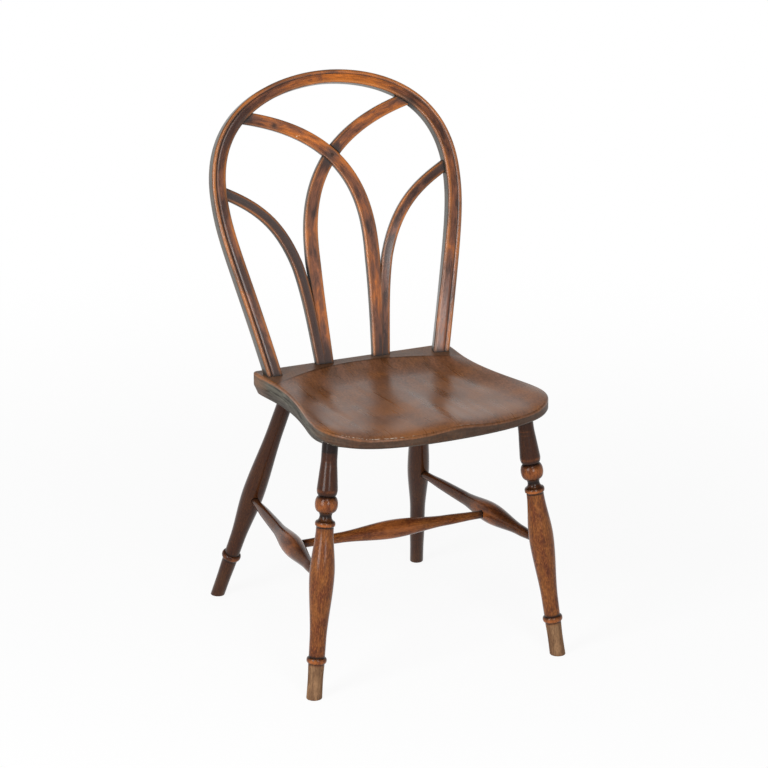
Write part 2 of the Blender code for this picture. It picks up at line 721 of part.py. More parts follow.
def rear_leg_marks():
    """A rear leg from its top to below the floor."""
    top = UNDERSIDE
    peak = (REAR_SWELL_AT, REAR_SWELL)
    shank = (1.375 * REAR_ANKLE, 1.016 * REAR_SHANK)
    return [
        (top + LEG_TENON_DEPTH, LEG_TENON),
        (top - LEG_NECK, LEG_TENON),
        *swell((top - REAR_NECK, 1.023 * LEG_TENON), peak, 5),
        *swell(peak, shank, 5),
        shank,
        (1.09 * REAR_ANKLE, REAR_SHANK),
        *ring(REAR_ANKLE, ANKLE_HALF, REAR_SHANK, ANKLE_RING, 4),
        (0.91 * REAR_ANKLE, REAR_SHANK),
        (0.375 * REAR_ANKLE, 0.92 * REAR_SHANK),
        (-OVERRUN, 0.9 * REAR_SHANK),
    ]


def side_stretcher_marks(length):
    """A side stretcher from its front end to its rear end."""
    peak = (SIDE_SWELL_SHARE * length, SIDE_SWELL)
    return [
        (length - STRETCHER_STOP, STRETCHER_TENON),
        (0.93 * length, STRETCHER_TENON),
        *swell((0.84 * length, 1.35 * STRETCHER_TENON), peak, 5),
        *swell(peak, (0.38 * length, 1.54 * STRETCHER_TENON), 5),
        (0.38 * length, 1.54 * STRETCHER_TENON),
        (0.09 * length, STRETCHER_TENON),
        (STRETCHER_STOP, STRETCHER_TENON),
    ]


def cross_stretcher_marks(length):
    """The cross stretcher from its right end to its left end."""
    peak = (0.5 * length, CROSS_SWELL)
    return [
        (length - STRETCHER_STOP, STRETCHER_TENON),
        (0.92 * length, STRETCHER_TENON),
        *swell((0.78 * length, 1.29 * STRETCHER_TENON), peak, 5),
        *swell(peak, (0.22 * length, 1.29 * STRETCHER_TENON), 5),
        (0.22 * length, 1.29 * STRETCHER_TENON),
        (0.08 * length, STRETCHER_TENON),
        (STRETCHER_STOP, STRETCHER_TENON),
    ]


def turned(name, marks, low, high, unit=1.0):
    """A piece turned about the axis from one point towards another. A mark's place is stretched by the unit."""
    places = [at * unit for at, _ in marks]
    points = [(0, 0, places[0])]
    points += [(diameter / 2, 0, place) for place, (_, diameter) in zip(places, marks)]
    points += [(0, 0, places[-1])]
    shape = bmesh.new()
    line = [shape.verts.new(p) for p in points]
    for a, b in zip(line, line[1:]):
        shape.edges.new((a, b))
    piece = add(name, shape, BEECH)
    piece.location = low
    piece.rotation_mode = "QUATERNION"
    piece.rotation_quaternion = (high - low).to_track_quat("Z", "Y")
    spin = piece.modifiers.new("turning", "SCREW")
    spin.axis = "Z"
    spin.angle = 2 * math.pi
    spin.steps = TURNED_STEPS
    spin.render_steps = TURNED_STEPS
    spin.use_merge_vertices = True
    spin.merge_threshold = 0.00001
    spin.use_smooth_shade = True
    return piece


def socket(host, name, inside, way, diameter):
    """A round hole that opens out of a host along a way, from a point inside it."""
    cut(host, rod(name, inside - way * END_SPACE, inside + way * 2 * OVERRUN, diameter + 2 * FIT))


floor_room = block("floor_room", Matrix.Identity(4), (-0.5, -0.5, -0.1), (0.5, 0.5, 0))
LEGS = {
    "front": (
        SEAT_HALF_FRONT - FRONT_LEG_INSET_SIDE,
        SEAT_FRONT + FRONT_LEG_INSET_FRONT,
        FRONT_LEG_SPLAY,
        front_leg_marks(),
        STRETCHER_FRONT,
    ),
    "rear": (
        SEAT_HALF_BACK - REAR_LEG_INSET_SIDE,
        SEAT_BACK - REAR_LEG_INSET_BACK,
        REAR_LEG_SPLAY,
        rear_leg_marks(),
        STRETCHER_REAR,
    ),
}
side_stretchers = {}
for side, sign in SIDES.items():
    held = {}
    for end, (x, y, splay, marks, stretcher_height) in LEGS.items():
        top = Vector((sign * x, y, UNDERSIDE))
        foot = Vector((sign * (x + splay[0] * UNDERSIDE), y + splay[1] * UNDERSIDE, 0))
        way = (top - foot).normalized()
        leg = turned(f"{end}_leg_{side}", marks, foot, top, 1 / way.z)
        cut(leg, floor_room)
        socket(seat, f"{end}_leg_socket_{side}", top + way * (LEG_TENON_DEPTH / way.z), -way, LEG_TENON)
        held[end] = (leg, foot + way * (stretcher_height / way.z))
    rear_leg, rear = held["rear"]
    front_leg, front = held["front"]
    way = (front - rear).normalized()
    length = (front - rear).length
    stretcher = turned(f"side_stretcher_{side}", side_stretcher_marks(length), rear, front)
    socket(rear_leg, f"rear_stretcher_socket_{side}", rear + way * STRETCHER_STOP, way, STRETCHER_TENON)
    socket(front_leg, f"front_stretcher_socket_{side}", front - way * STRETCHER_STOP, -way, STRETCHER_TENON)
    side_stretchers[side] = (stretcher, rear + way * (SIDE_SWELL_SHARE * length))

left_stretcher, left_end = side_stretchers["left"]
right_stretcher, right_end = side_stretchers["right"]
way = (right_end - left_end).normalized()
turned("cross_stretcher", cross_stretcher_marks((right_end - left_end).length), left_end, right_end)
socket(left_stretcher, "cross_socket_left", left_end + way * STRETCHER_STOP, way, STRETCHER_TENON)
socket(right_stretcher, "cross_socket_right", right_end - way * STRETCHER_STOP, -way, STRETCHER_TENON)
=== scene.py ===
"""Looks of the hoop back chair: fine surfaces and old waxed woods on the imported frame.

Metres, +Z up, facing -Y. The bars of the back are drawn flat, in (x, w) with w measured up the back from the
seat, and then bent along arcs.
"""

import math
from collections import namedtuple

import bmesh
import bpy
import numpy as np
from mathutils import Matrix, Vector


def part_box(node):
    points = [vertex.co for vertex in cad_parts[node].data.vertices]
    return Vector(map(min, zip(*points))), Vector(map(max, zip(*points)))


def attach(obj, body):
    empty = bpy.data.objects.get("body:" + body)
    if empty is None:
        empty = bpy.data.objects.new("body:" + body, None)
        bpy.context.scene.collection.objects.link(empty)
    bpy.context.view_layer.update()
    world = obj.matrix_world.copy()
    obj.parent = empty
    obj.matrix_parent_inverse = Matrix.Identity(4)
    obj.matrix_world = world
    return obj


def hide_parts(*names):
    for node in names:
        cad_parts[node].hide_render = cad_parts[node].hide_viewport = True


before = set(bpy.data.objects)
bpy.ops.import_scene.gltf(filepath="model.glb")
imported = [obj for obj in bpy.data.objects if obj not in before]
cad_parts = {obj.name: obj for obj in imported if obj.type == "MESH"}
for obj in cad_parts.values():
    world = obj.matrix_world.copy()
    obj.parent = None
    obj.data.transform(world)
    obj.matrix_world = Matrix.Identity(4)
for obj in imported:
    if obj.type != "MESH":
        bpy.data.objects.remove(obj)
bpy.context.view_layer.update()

GAP = 0.0002  # open line between two pieces of wood
SIDES = {"left": -1, "right": 1}

# Seat
SEAT_HEIGHT = 0.440
SEAT_THICK = 0.038
UNDERSIDE = SEAT_HEIGHT - SEAT_THICK
SEAT_EDGE_SIDE = 0.021  # height of the wall
SEAT_EDGE_FRONT = 0.0228
SEAT_EDGE_CORNER = 0.004  # how much shorter the wall is at the widest place
SEAT_BACK = 0.1195
SEAT_FRONT = -0.2663
SEAT_HALF_BACK = 0.176
SEAT_HALF_WAIST = 0.171
SEAT_HALF_FRONT = 0.2025
WAIST_Y = 0.032
WIDEST_Y = -0.166
CORNER = 0.008
WORN_EDGE = 0.0030  # radius of the top edge
WORN_FRONT = 0.0006  # and how much more it is at the front
UNDER_X_BACK = 0.955  # the underside's share of the outline
UNDER_X_FRONT = 0.915
UNDER_Y = 0.865
SEAT_SKEW = 0.042  # how far the front leans right, by its distance from the back
SEAT_TWIST = 0.045  # how far the left front corner leads, by its distance from the middle
SADDLE_DEPTH = 0.011
FRONT_LIFT_DEPTH = 0.0046
FRONT_ROLL = 0.0030  # how far the seat rises behind its front edge
ROLL_BACK = 0.03  # and where, from the edge
LEDGE_DEPTH = 0.0225
LEDGE_CORNER_DEPTH = 0.0558
LEDGE_RUN = 0.075  # over which the dish falls from the ledge
SIDE_RUN = 0.060  # and from the sides
POMMEL_HALF = 0.045

# Back
BOW_WIDTH = 0.0262
BOW_DEPTH = 0.0220
BOW_BEAD = 0.0040
BOW_EASE = 0.0035
BOW_FOOT_X = SEAT_HALF_BACK - 0.0248
BOW_SPLAY = 0.220
BOW_HALF = 0.2088
BOW_WIDEST = 0.3005
BOW_SHOULDER = 0.1774
BOW_RISE = BOW_WIDEST + BOW_SHOULDER
BOW_ARC = (SEAT_BACK - 0.0419, math.radians(12.57), 2.288)  # foot, lean and radius of its bend
BOW_TURN = math.radians(15)  # how far the right limb is turned in at its foot
BOW_WIDER = 0.05  # and how much wider it is there
BOW_TENON = 0.0150
WEDGE_HEAD = 0.0030
BOW_PEG = 0.0020  # radius
ARCH_FOOT_Y = SEAT_BACK - 0.0164
ARCH_DEPTH = 0.0115
ARCH_BEAD = 0.0030
ARCH_EASE = 0.0030
LAP = -ARCH_DEPTH / 2  # where the crossing's two halves meet
CROSSING_PEG = 0.0030  # radius
LONG_WIDTH = 0.0252
LONG_FOOT_X = 0.0480
LONG_SPLAY = 0.055
LONG_WAIST = 0.1616
LONG_WAIST_X = 0.0535
LONG_MEETS = BOW_RISE - 0.0525  # how far up the back it meets the bow
LONG_BEHIND = 0.0052  # how far its face lies behind the bow's there
LONG_RADIUS = 3.61
SHORT_WIDTH = 0.0188
SHORT_FOOT_X = 0.0572
SHORT_SPLAY = 0.11
SHORT_FORK = 0.1645
SHORT_FORK_X = 0.0812
SHORT_MEETS = BOW_WIDEST + 0.0105
SHORT_BEHIND = 0.0076
SHORT_RADIUS = 50.0
SHORT_TURN = math.radians(12)  # how far the right short arch is turned in half way up
SCARF_X = 0.0513  # plane between a long and a short arch, at the ledge
SCARF_SPLAY = 0.088
BELOW = 0.012  # how far the flat drawings run below the ledge
GRAIN_SHIFT = 7.4  # gives each bar its own place in the wood, by where its foot stands
JOINT_DIRT_AND_SHADOW = 0.004  # how far the dark band of dirt and painted shadow reaches from a joint
JOINT_DARK = 0.024  # and how far the wax is less rubbed

# Turned pieces
LEGS = {  # top of the axis at the underside, and its splay
    "front": ((SEAT_HALF_FRONT - 0.0307, SEAT_FRONT + 0.0832), (0.115, -0.095)),
    "rear": ((SEAT_HALF_BACK - 0.0569, SEAT_BACK - 0.0204), (0.169, 0.388)),
}
LEG_TENON = 0.0260
LEG_SOCKET = 0.0255  # depth
STRETCHER_TENON = 0.0135
STRETCHER_HEIGHT = {"front": 0.192, "rear": 0.196}
STRETCHER_GRIME = 0.010
SIDE_SWELL_SHARE = 0.595

# Fineness of the meshes, and how far from an end its cut is looked for, in how many steps
ROUND_STEPS = 72
SEAT_STEPS = 560
DISH_ROWS = 110
BOW_ROWS = 420
LONG_ROWS = (170, 16, 130)  # below, in and above the crossing
SHORT_ROWS = 220
STRETCHER_ROWS = 190
FOOT_ROWS = 26  # of a leg, below its ankle
LEDGE_REACH, LEDGE_STEPS = 0.045, 120
LAP_REACH, BOW_REACH, WALL_STEPS = 0.07, 0.06, 140
SCRIBE_REACH, SCRIBE_STEPS = 0.06, 160

# Marks along a stretcher, as (share of its length, diameter): its far end, its swell and its near end
SIDE_MARKS = (
    ((1, STRETCHER_TENON), (0.93, STRETCHER_TENON), (0.84, 0.0182)),
    (SIDE_SWELL_SHARE, 0.0350),
    ((0.38, 0.0214), (0.2, 0.0176), (0.09, STRETCHER_TENON), (0, STRETCHER_TENON)),
)
CROSS_MARKS = (
    ((1, STRETCHER_TENON), (0.92, STRETCHER_TENON), (0.78, 0.0174)),
    (0.5, 0.0312),
    ((0.22, 0.0174), (0.08, STRETCHER_TENON), (0, STRETCHER_TENON)),
)

# Bands round a leg where its finish is rubbed or grimy, as (height, half of the width, share)
RUBBED_BANDS = {
    "front": (
        (0.313, 0.008, 0.6), (0.2822, 0.0022, 1.0), (0.3365, 0.002, 0.4),
        (0.0612, 0.0025, 1.0), (0.384, 0.0009, 0.2), (0.3775, 0.0009, 0.15),
    ),
    "rear": ((0.080, 0.003, 0.6),),
}
GRIMY_BANDS = {
    "front": (
        (0.3285, 0.0032, 1.0), (0.2965, 0.0065, 1.0), (0.2783, 0.0018, 1.0),
        (0.2875, 0.0024, 0.6), (0.0680, 0.0026, 1.0), (0.0565, 0.0016, 0.7),
    ),
    "rear": ((0.0865, 0.0018, 0.8), (0.0735, 0.0018, 0.8)),
}


def rise(t, low=0.0, high=1.0):
    """0 below low, 1 above high, and a smooth cubic step between."""
    t = np.clip((t - low) / (high - low), 0, 1)
    return t * t * (3 - 2 * t)


def hump(t, middle, half):
    """A bell of height 1 about a middle."""
    return np.exp(-(((t - middle) / half) ** 2))


def bands(t, table):
    """A sum of bells, each given by its middle, its half width and its height."""
    return sum(height * hump(t, middle, half) for middle, half, height in table)


def cubic(t, start, leave, arrive, end):
    """Points at shares t of a cubic span, from its ends and its two handles."""
    return (1 - t) ** 3 * start + 3 * (1 - t) ** 2 * t * leave + 3 * (1 - t) * t**2 * arrive + t**3 * end


def run_along(points):
    """Length of a chain of points, up to each of them."""
    return np.concatenate(([0], np.cumsum(np.linalg.norm(np.diff(points, axis=0), axis=1))))


# Meshes


def surface(grid):
    """Points and faces of a grid whose rows are closed loops.

    Both ends are closed by a fan to the end row's middle. The sign of the volume turns the faces outwards.
    """
    rows, around = grid.shape[:2]
    index = np.arange(rows * around).reshape(rows, around)
    beside = np.roll(index, -1, axis=1)
    quads = np.stack((index[:-1], beside[:-1], beside[1:], index[1:]), axis=-1).reshape(-1, 4)
    first = np.stack((beside[0], index[0], np.full(around, index.size)), axis=-1)
    last = np.stack((index[-1], beside[-1], np.full(around, index.size + 1)), axis=-1)
    points = np.vstack((grid.reshape(-1, 3), grid[0].mean(0), grid[-1].mean(0)))
    triangles = np.vstack((quads[:, [0, 1, 2]], quads[:, [0, 2, 3]], first, last))
    volume = np.linalg.det(points[triangles]).sum()
    faces = quads.tolist() + first.tolist() + last.tolist()
    return points, faces if volume > 0 else [face[::-1] for face in faces]


def with_ends(values):
    """Values of a grid's points, with those of the two end middles after them."""
    return np.vstack((values.reshape(-1, values.shape[-1]), values[0].mean(0), values[-1].mean(0)))


def piece(name, shells, wood, stands_for, sharp=35):
    """An object of closed shells, each (points, faces, marks), which stands for a CAD node.

    Marks are values for every point by name: three numbers are a place in the wood, four are shares of wear
    and of painted light and shade.
    """
    points = np.vstack([shell[0] for shell in shells])
    starts = np.cumsum([0] + [len(shell[0]) for shell in shells])
    faces = [[v + start for v in face] for shell, start in zip(shells, starts) for face in shell[1]]
    mesh = bpy.data.meshes.new(name)
    mesh.from_pydata(points.tolist(), [], faces)
    for mark in shells[0][2]:
        values = np.vstack([shell[2][mark] for shell in shells])
        kind, field = ("FLOAT_VECTOR", "vector") if values.shape[1] == 3 else ("FLOAT_COLOR", "color")
        mesh.attributes.new(mark, kind, "POINT").data.foreach_set(field, values.ravel().astype(np.float32))
    shape = bmesh.new()
    shape.from_mesh(mesh)
    bmesh.ops.remove_doubles(shape, verts=shape.verts, dist=0.000002)
    shape.to_mesh(mesh)
    shape.free()
    mesh.shade_smooth()
    mesh.set_sharp_from_angle(angle=math.radians(sharp))
    mesh.materials.append(WOODS[wood])
    made = bpy.data.objects.new(name, mesh)
    bpy.context.scene.collection.objects.link(made)
    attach(made, "root")
    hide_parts(stands_for)
    return made


# Materials

MIX = "ShaderNodeMix"
MATH = "ShaderNodeMath"
NOISE = "ShaderNodeTexNoise"
RANGE = "ShaderNodeMapRange"
SCALE = "ShaderNodeVectorMath"


def linear(colour):
    """Linear RGBA of an sRGB hex value."""
    value = np.array([int(colour[i : i + 2], 16) for i in (1, 3, 5)]) / 255
    value = np.where(value <= 0.04045, value / 12.92, ((value + 0.055) / 1.055) ** 2.4)
    return (*value.tolist(), 1.0)


def per_mm(*sizes):
    """Pattern scales for features of these sizes in millimetres along the three axes."""
    return tuple(1000 / size for size in sizes)


def node(tree, kind, inputs, out=0, **settings):
    """Adds a node with its settings, fills or links its inputs by name or place, and returns an output."""
    made = tree.nodes.new(kind)
    for key, value in settings.items():
        setattr(made, key, value)
    for key, value in inputs.items():
        if isinstance(value, bpy.types.NodeSocket):
            tree.links.new(value, made.inputs[key])
        else:
            made.inputs[key].default_value = value
    return made.outputs[out]


def new_material(name, values):
    """A material with its shader, whose sockets get the values that are the same all over."""
    material = bpy.data.materials.new(name)
    material.use_nodes = True
    shader = material.node_tree.nodes["Principled BSDF"]
    for socket, value in values.items():
        shader.inputs[socket].default_value = value
    return material, material.node_tree, shader


def wear_shares(tree):
    """The four shares of wear, and of painted light and shade, that are stored on a piece's points."""
    paint = node(tree, "ShaderNodeAttribute", {}, "Color", attribute_name="wear")
    shares = node(tree, "ShaderNodeSeparateColor", {0: paint}).node.outputs
    return (*shares, paint.node.outputs["Alpha"])


def old_yew():
    """Bent yew under old dark wax: the wax is rubbed through to orange wood on high places and on the beads.

    The grain runs along the bar. Streaks are drawn about 2.2 mm by 28 mm, coarser than the real ones so that
    they show, over stains of 11 mm by 34 mm and patches of 32 mm by 80 mm. An edge share above 1 is a chip.
    """
    material, tree, shader = new_material("old_waxed_yew", {"Specular IOR Level": 0.5})
    edge, dirt, wall, worn = wear_shares(tree)
    place = node(tree, "ShaderNodeAttribute", {}, 1, attribute_name="grain")
    fine = node(tree, SCALE, {0: place, 1: per_mm(28, 2.2, 2.2)}, operation="MULTIPLY")
    fine = node(tree, NOISE, {"Vector": fine, "Scale": 1.0, "Detail": 3.0, "Roughness": 0.6})
    stain = node(tree, SCALE, {0: place, 1: per_mm(34, 11, 11)}, operation="MULTIPLY")
    spread = {"Detail": 4.0, "Roughness": 0.62, "Distortion": 0.5}
    stain = node(tree, NOISE, {"Vector": stain, "Scale": 1.0, **spread})
    patch = node(tree, SCALE, {0: place, 1: per_mm(80, 32, 32)}, operation="MULTIPLY")
    patch = node(tree, NOISE, {"Vector": patch, "Scale": 1.0, "Detail": 3.0, "Roughness": 0.55})

    shift = node(tree, RANGE, {0: patch, 1: 0.3, 2: 0.7, 3: -0.42, 4: 0.42})
    blotch = node(tree, RANGE, {0: stain, 1: 0.32, 2: 0.68, 3: -0.3, 4: 0.3})
    rubbed = node(tree, MATH, {0: worn, 1: shift}, operation="ADD")
    rubbed = node(tree, MATH, {0: rubbed, 1: blotch}, operation="ADD")
    brown = node(tree, RANGE, {0: rubbed, 1: -0.1, 2: 0.4}, interpolation_type="SMOOTHSTEP")
    orange = node(tree, RANGE, {0: rubbed, 1: 0.3, 2: 1.0}, interpolation_type="SMOOTHSTEP")
    streak = node(tree, RANGE, {0: fine, 1: 0.36, 2: 0.64, 3: 0.66, 4: 1.18})
    # grey on the sides and back: partly a dull finish, partly a painted reflection of the bright surround
    dull = node(tree, RANGE, {0: stain, 1: 0.36, 2: 0.64})
    dull = node(tree, MIX, {0: dull, 6: linear("#2c2822"), 7: linear("#4b463c")}, 2, data_type="RGBA")
    bare = node(tree, RANGE, {0: patch, 1: 0.36, 2: 0.62, 3: 0.25, 4: 1.0})
    bare = node(tree, MATH, {0: edge, 1: bare}, operation="MULTIPLY")
    chip = node(tree, RANGE, {0: edge, 1: 1.2, 2: 1.7})
    colour = linear("#3b241c")
    for share, over, blend in (
        (brown, linear("#6a3f2a"), "MIX"),
        # orange where rubbed through; low on the bow's right limb it is partly a painted sheen
        (orange, linear("#ae6022"), "MIX"),
        (1.0, streak, "MULTIPLY"),
        (wall, dull, "MIX"),
        (bare, linear("#ad682c"), "MIX"),
        (chip, linear("#dccabb"), "MIX"),
        # near-black dirt; at joints, at the scarf and where the long arches meet the bow it is partly a
        # painted shadow
        (dirt, linear("#0f0906"), "MIX"),
    ):
        colour = node(tree, MIX, {0: share, 6: colour, 7: over}, 2, data_type="RGBA", blend_type=blend)
    tree.links.new(colour, shader.inputs["Base Color"])

    gloss = node(tree, RANGE, {0: stain, 1: 0.3, 2: 0.7, 3: 0.22, 4: 0.34})
    gloss = node(tree, MIX, {0: edge, 2: gloss, 3: 0.2})
    gloss = node(tree, MIX, {0: dirt, 2: gloss, 3: 0.8})
    tree.links.new(gloss, shader.inputs["Roughness"])
    bump = node(tree, "ShaderNodeBump", {"Height": fine, "Strength": 0.12, "Distance": 0.0003})
    tree.links.new(bump, shader.inputs["Normal"])
    return material


def old_elm():
    """An elm plank, dished and waxed, brown from long use: the grain runs from back to front.

    Flecks are drawn about 2.4 mm by 6 mm, coarser than real ones so that they show, over rings 16 mm apart
    and patches of about 70 mm. The sides are dull and grey, with level streaks of 4 mm by 45 mm; their grey
    is partly a painted reflection of the bright surround. Chips of the front edge are crumbs of 2 mm by 5 mm.
    The wax is full of dust, so it shines less than a new finish.
    """
    material, tree, shader = new_material("old_waxed_elm", {})
    edge, dirt, wall, chips = wear_shares(tree)
    place = node(tree, "ShaderNodeTexCoord", {}, 3)
    pores = node(tree, SCALE, {0: place, 1: per_mm(2.4, 6, 4)}, operation="MULTIPLY")
    pores = node(tree, NOISE, {"Vector": pores, "Scale": 1.0, "Detail": 3.0, "Roughness": 0.6})
    rings = node(tree, SCALE, {0: place, 1: per_mm(16, 260, 16)}, operation="MULTIPLY")
    rings = node(tree, NOISE, {"Vector": rings, "Scale": 1.0, "Detail": 2.0, "Distortion": 0.3})
    patch = node(tree, NOISE, {"Vector": place, "Scale": 14.0, "Detail": 3.0, "Roughness": 0.55})
    level = node(tree, SCALE, {0: place, 1: per_mm(45, 45, 4)}, operation="MULTIPLY")
    spread = {"Detail": 4.0, "Roughness": 0.65, "Distortion": 0.4}
    level = node(tree, NOISE, {"Vector": level, "Scale": 1.0, **spread})
    crumbs = node(tree, SCALE, {0: place, 1: per_mm(5, 2, 2)}, operation="MULTIPLY")
    crumbs = node(tree, NOISE, {"Vector": crumbs, "Scale": 1.0, "Detail": 1.0})

    tone = node(tree, RANGE, {0: rings, 1: 0.32, 2: 0.68})
    warm = node(tree, RANGE, {0: patch, 1: 0.44, 2: 0.68, 3: 0.0, 4: 0.7})
    streak = node(tree, RANGE, {0: pores, 1: 0.34, 2: 0.66, 3: 0.68, 4: 1.38})
    # grey sides, bevel, underside and ledge: partly a dull finish, partly a painted reflection; their real
    # shine is turned down below
    dull = node(tree, RANGE, {0: level, 1: 0.36, 2: 0.64})
    dull = node(tree, MIX, {0: dull, 6: linear("#2b2722"), 7: linear("#636057")}, 2, data_type="RGBA")
    bare = node(tree, RANGE, {0: patch, 1: 0.40, 2: 0.60, 3: 0.15, 4: 1.0})
    bare = node(tree, MATH, {0: edge, 1: bare}, operation="MULTIPLY")
    chipped = node(tree, RANGE, {0: crumbs, 1: 0.50, 2: 0.58})
    chipped = node(tree, MATH, {0: chipped, 1: chips}, operation="MULTIPLY")
    colour = linear("#5c3a22")
    for share, over, blend in (
        (tone, linear("#734c35"), "MIX"),
        (warm, linear("#81512a"), "MIX"),
        (1.0, streak, "MULTIPLY"),
        (wall, dull, "MIX"),
        # bare rubbed wood; over the front half of the dish it is partly a painted sheen
        (bare, linear("#955c2d"), "MIX"),
        # dark dirt; on the under bevel it is partly a painted shade
        (dirt, linear("#110a07"), "MIX"),
        (chipped, linear("#e3d8c8"), "MIX"),
    ):
        colour = node(tree, MIX, {0: share, 6: colour, 7: over}, 2, data_type="RGBA", blend_type=blend)
    tree.links.new(colour, shader.inputs["Base Color"])

    gloss = node(tree, RANGE, {0: rings, 1: 0.3, 2: 0.7, 3: 0.25, 4: 0.36})
    gloss = node(tree, MIX, {0: wall, 2: gloss, 3: 0.6})
    tree.links.new(gloss, shader.inputs["Roughness"])
    wax = node(tree, RANGE, {0: wall, 3: 0.26, 4: 0.08})
    tree.links.new(wax, shader.inputs["Specular IOR Level"])
    return material


def old_beech():
    """Turned beech, stained red-brown and waxed: flecked, rubbed orange on the rings, bare at the worn feet.

    Flecks are drawn about 1.8 mm by 5 mm and streaks about 2.2 mm by 50 mm, coarser than real ones so that
    they show, over stains of 13 mm by 40 mm.
    """
    material, tree, shader = new_material("old_stained_beech", {"Specular IOR Level": 0.19})
    edge, dirt, deep, bare = wear_shares(tree)
    place = node(tree, "ShaderNodeAttribute", {}, 1, attribute_name="grain")
    fine = node(tree, SCALE, {0: place, 1: per_mm(2.2, 2.2, 50)}, operation="MULTIPLY")
    fine = node(tree, NOISE, {"Vector": fine, "Scale": 1.0, "Detail": 3.0, "Roughness": 0.6})
    fleck = node(tree, SCALE, {0: place, 1: per_mm(1.8, 1.8, 5)}, operation="MULTIPLY")
    fleck = node(tree, NOISE, {"Vector": fleck, "Scale": 1.0, "Detail": 2.0, "Roughness": 0.5})
    stain = node(tree, SCALE, {0: place, 1: per_mm(13, 13, 40)}, operation="MULTIPLY")
    spread = {"Detail": 4.0, "Roughness": 0.6, "Distortion": 0.2}
    stain = node(tree, NOISE, {"Vector": stain, "Scale": 1.0, **spread})

    tone = node(tree, RANGE, {0: stain, 1: 0.32, 2: 0.68}, interpolation_type="SMOOTHSTEP")
    streak = node(tree, RANGE, {0: fine, 1: 0.36, 2: 0.64, 3: 0.76, 4: 1.12})
    spots = node(tree, RANGE, {0: fleck, 1: 0.51, 2: 0.63, 3: 0.0, 4: 0.42})
    pale = node(tree, RANGE, {0: fleck, 1: 0.43, 2: 0.33, 3: 0.0, 4: 0.3})
    rubbed = node(tree, RANGE, {0: stain, 1: 0.38, 2: 0.62, 3: 0.1, 4: 0.9})
    rubbed = node(tree, MATH, {0: edge, 1: rubbed}, operation="MULTIPLY")
    stained = (
        (tone, linear("#784720"), "MIX"),
        (1.0, streak, "MULTIPLY"),
        (spots, linear("#2a130b"), "MIX"),
        (pale, linear("#a5642f"), "MIX"),
        # deep stain; on the rear legs, deeper towards the seat, it is partly a painted shade
        (deep, linear("#28140c"), "MIX"),
        (rubbed, linear("#98562a"), "MIX"),
    )
    raw = (
        (tone, linear("#8a694b"), "MIX"),
        (1.0, streak, "MULTIPLY"),
        (spots, linear("#4a3122"), "MIX"),
    )
    finishes = []
    for colour, layers in ((linear("#5b2e18"), stained), (linear("#5c402b"), raw)):
        for share, over, blend in layers:
            mixed = {0: share, 6: colour, 7: over}
            colour = node(tree, MIX, mixed, 2, data_type="RGBA", blend_type=blend)
        finishes.append(colour)
    colour = node(tree, MIX, {0: bare, 6: finishes[0], 7: finishes[1]}, 2, data_type="RGBA")
    # near-black dirt; at the tops of the legs it is partly a painted shadow of the seat
    colour = node(tree, MIX, {0: dirt, 6: colour, 7: linear("#100806")}, 2, data_type="RGBA")
    tree.links.new(colour, shader.inputs["Base Color"])

    gloss = node(tree, RANGE, {0: stain, 1: 0.3, 2: 0.7, 3: 0.12, 4: 0.24})
    gloss = node(tree, MIX, {0: bare, 2: gloss, 3: 0.75})
    tree.links.new(gloss, shader.inputs["Roughness"])
    bump = node(tree, "ShaderNodeBump", {"Height": fine, "Strength": 0.08, "Distance": 0.0004})
    tree.links.new(bump, shader.inputs["Normal"])
    return material


def dark_oak():
    """Cleft oak pegs and wedges, never polished: dark, dull, with open pores about 1 mm apart."""
    values = {"Roughness": 0.55, "Specular IOR Level": 0.3}
    material, tree, shader = new_material("dark_cleft_oak", values)
    place = node(tree, "ShaderNodeTexCoord", {}, 3)
    pores = node(tree, NOISE, {"Vector": place, "Scale": 900.0, "Detail": 2.0})
    tone = node(tree, RANGE, {0: pores, 1: 0.35, 2: 0.65})
    colour = node(tree, MIX, {0: tone, 6: linear("#1e120c"), 7: linear("#4a2d1c")}, 2, data_type="RGBA")
    tree.links.new(colour, shader.inputs["Base Color"])
    bump = node(tree, "ShaderNodeBump", {"Height": pores, "Strength": 0.3, "Distance": 0.0003})
    tree.links.new(bump, shader.inputs["Normal"])
    return material


WOODS = {"yew": old_yew(), "elm": old_elm(), "beech": old_beech(), "oak": dark_oak()}

# The back's bars: flat drawings

Knot = namedtuple("Knot", "at before after slim")
Line = namedtuple("Line", "s x w slim nx nw turn")


def knot(x, w, before=(0, 0), after=(0, 0), slim=1.0):
    """A point of a flat path, with its handles given as steps from it, and how slim the bar is there."""
    at = np.array((x, w))
    return Knot(at, at + before, at + after, slim)


def mirrored(path):
    """A path with left and right changed over."""
    flip = np.array((-1, 1))
    return [Knot(k.at * flip, k.before * flip, k.after * flip, k.slim) for k in path]


def centre_line(path):
    """Even steps along cubic spans between knots, with the place, the slimness and the normal at each."""
    t = np.linspace(0, 1, 700)[:, None]
    places = [cubic(t, a.at, a.after, b.before, b.at)[1:] for a, b in zip(path, path[1:])]
    slims = [(a.slim + (b.slim - a.slim) * t[:, 0])[1:] for a, b in zip(path, path[1:])]
    places = np.vstack((path[0].at, *places))
    slims = np.concatenate(([path[0].slim], *slims))
    length = run_along(places)
    s = np.linspace(0, length[-1], 1500)
    x = np.interp(s, length, places[:, 0])
    w = np.interp(s, length, places[:, 1])
    way = np.stack((np.gradient(x, s), np.gradient(w, s)))
    way /= np.linalg.norm(way, axis=0)
    return Line(s, x, w, np.interp(s, length, slims), -way[1], way[0], np.zeros_like(s))


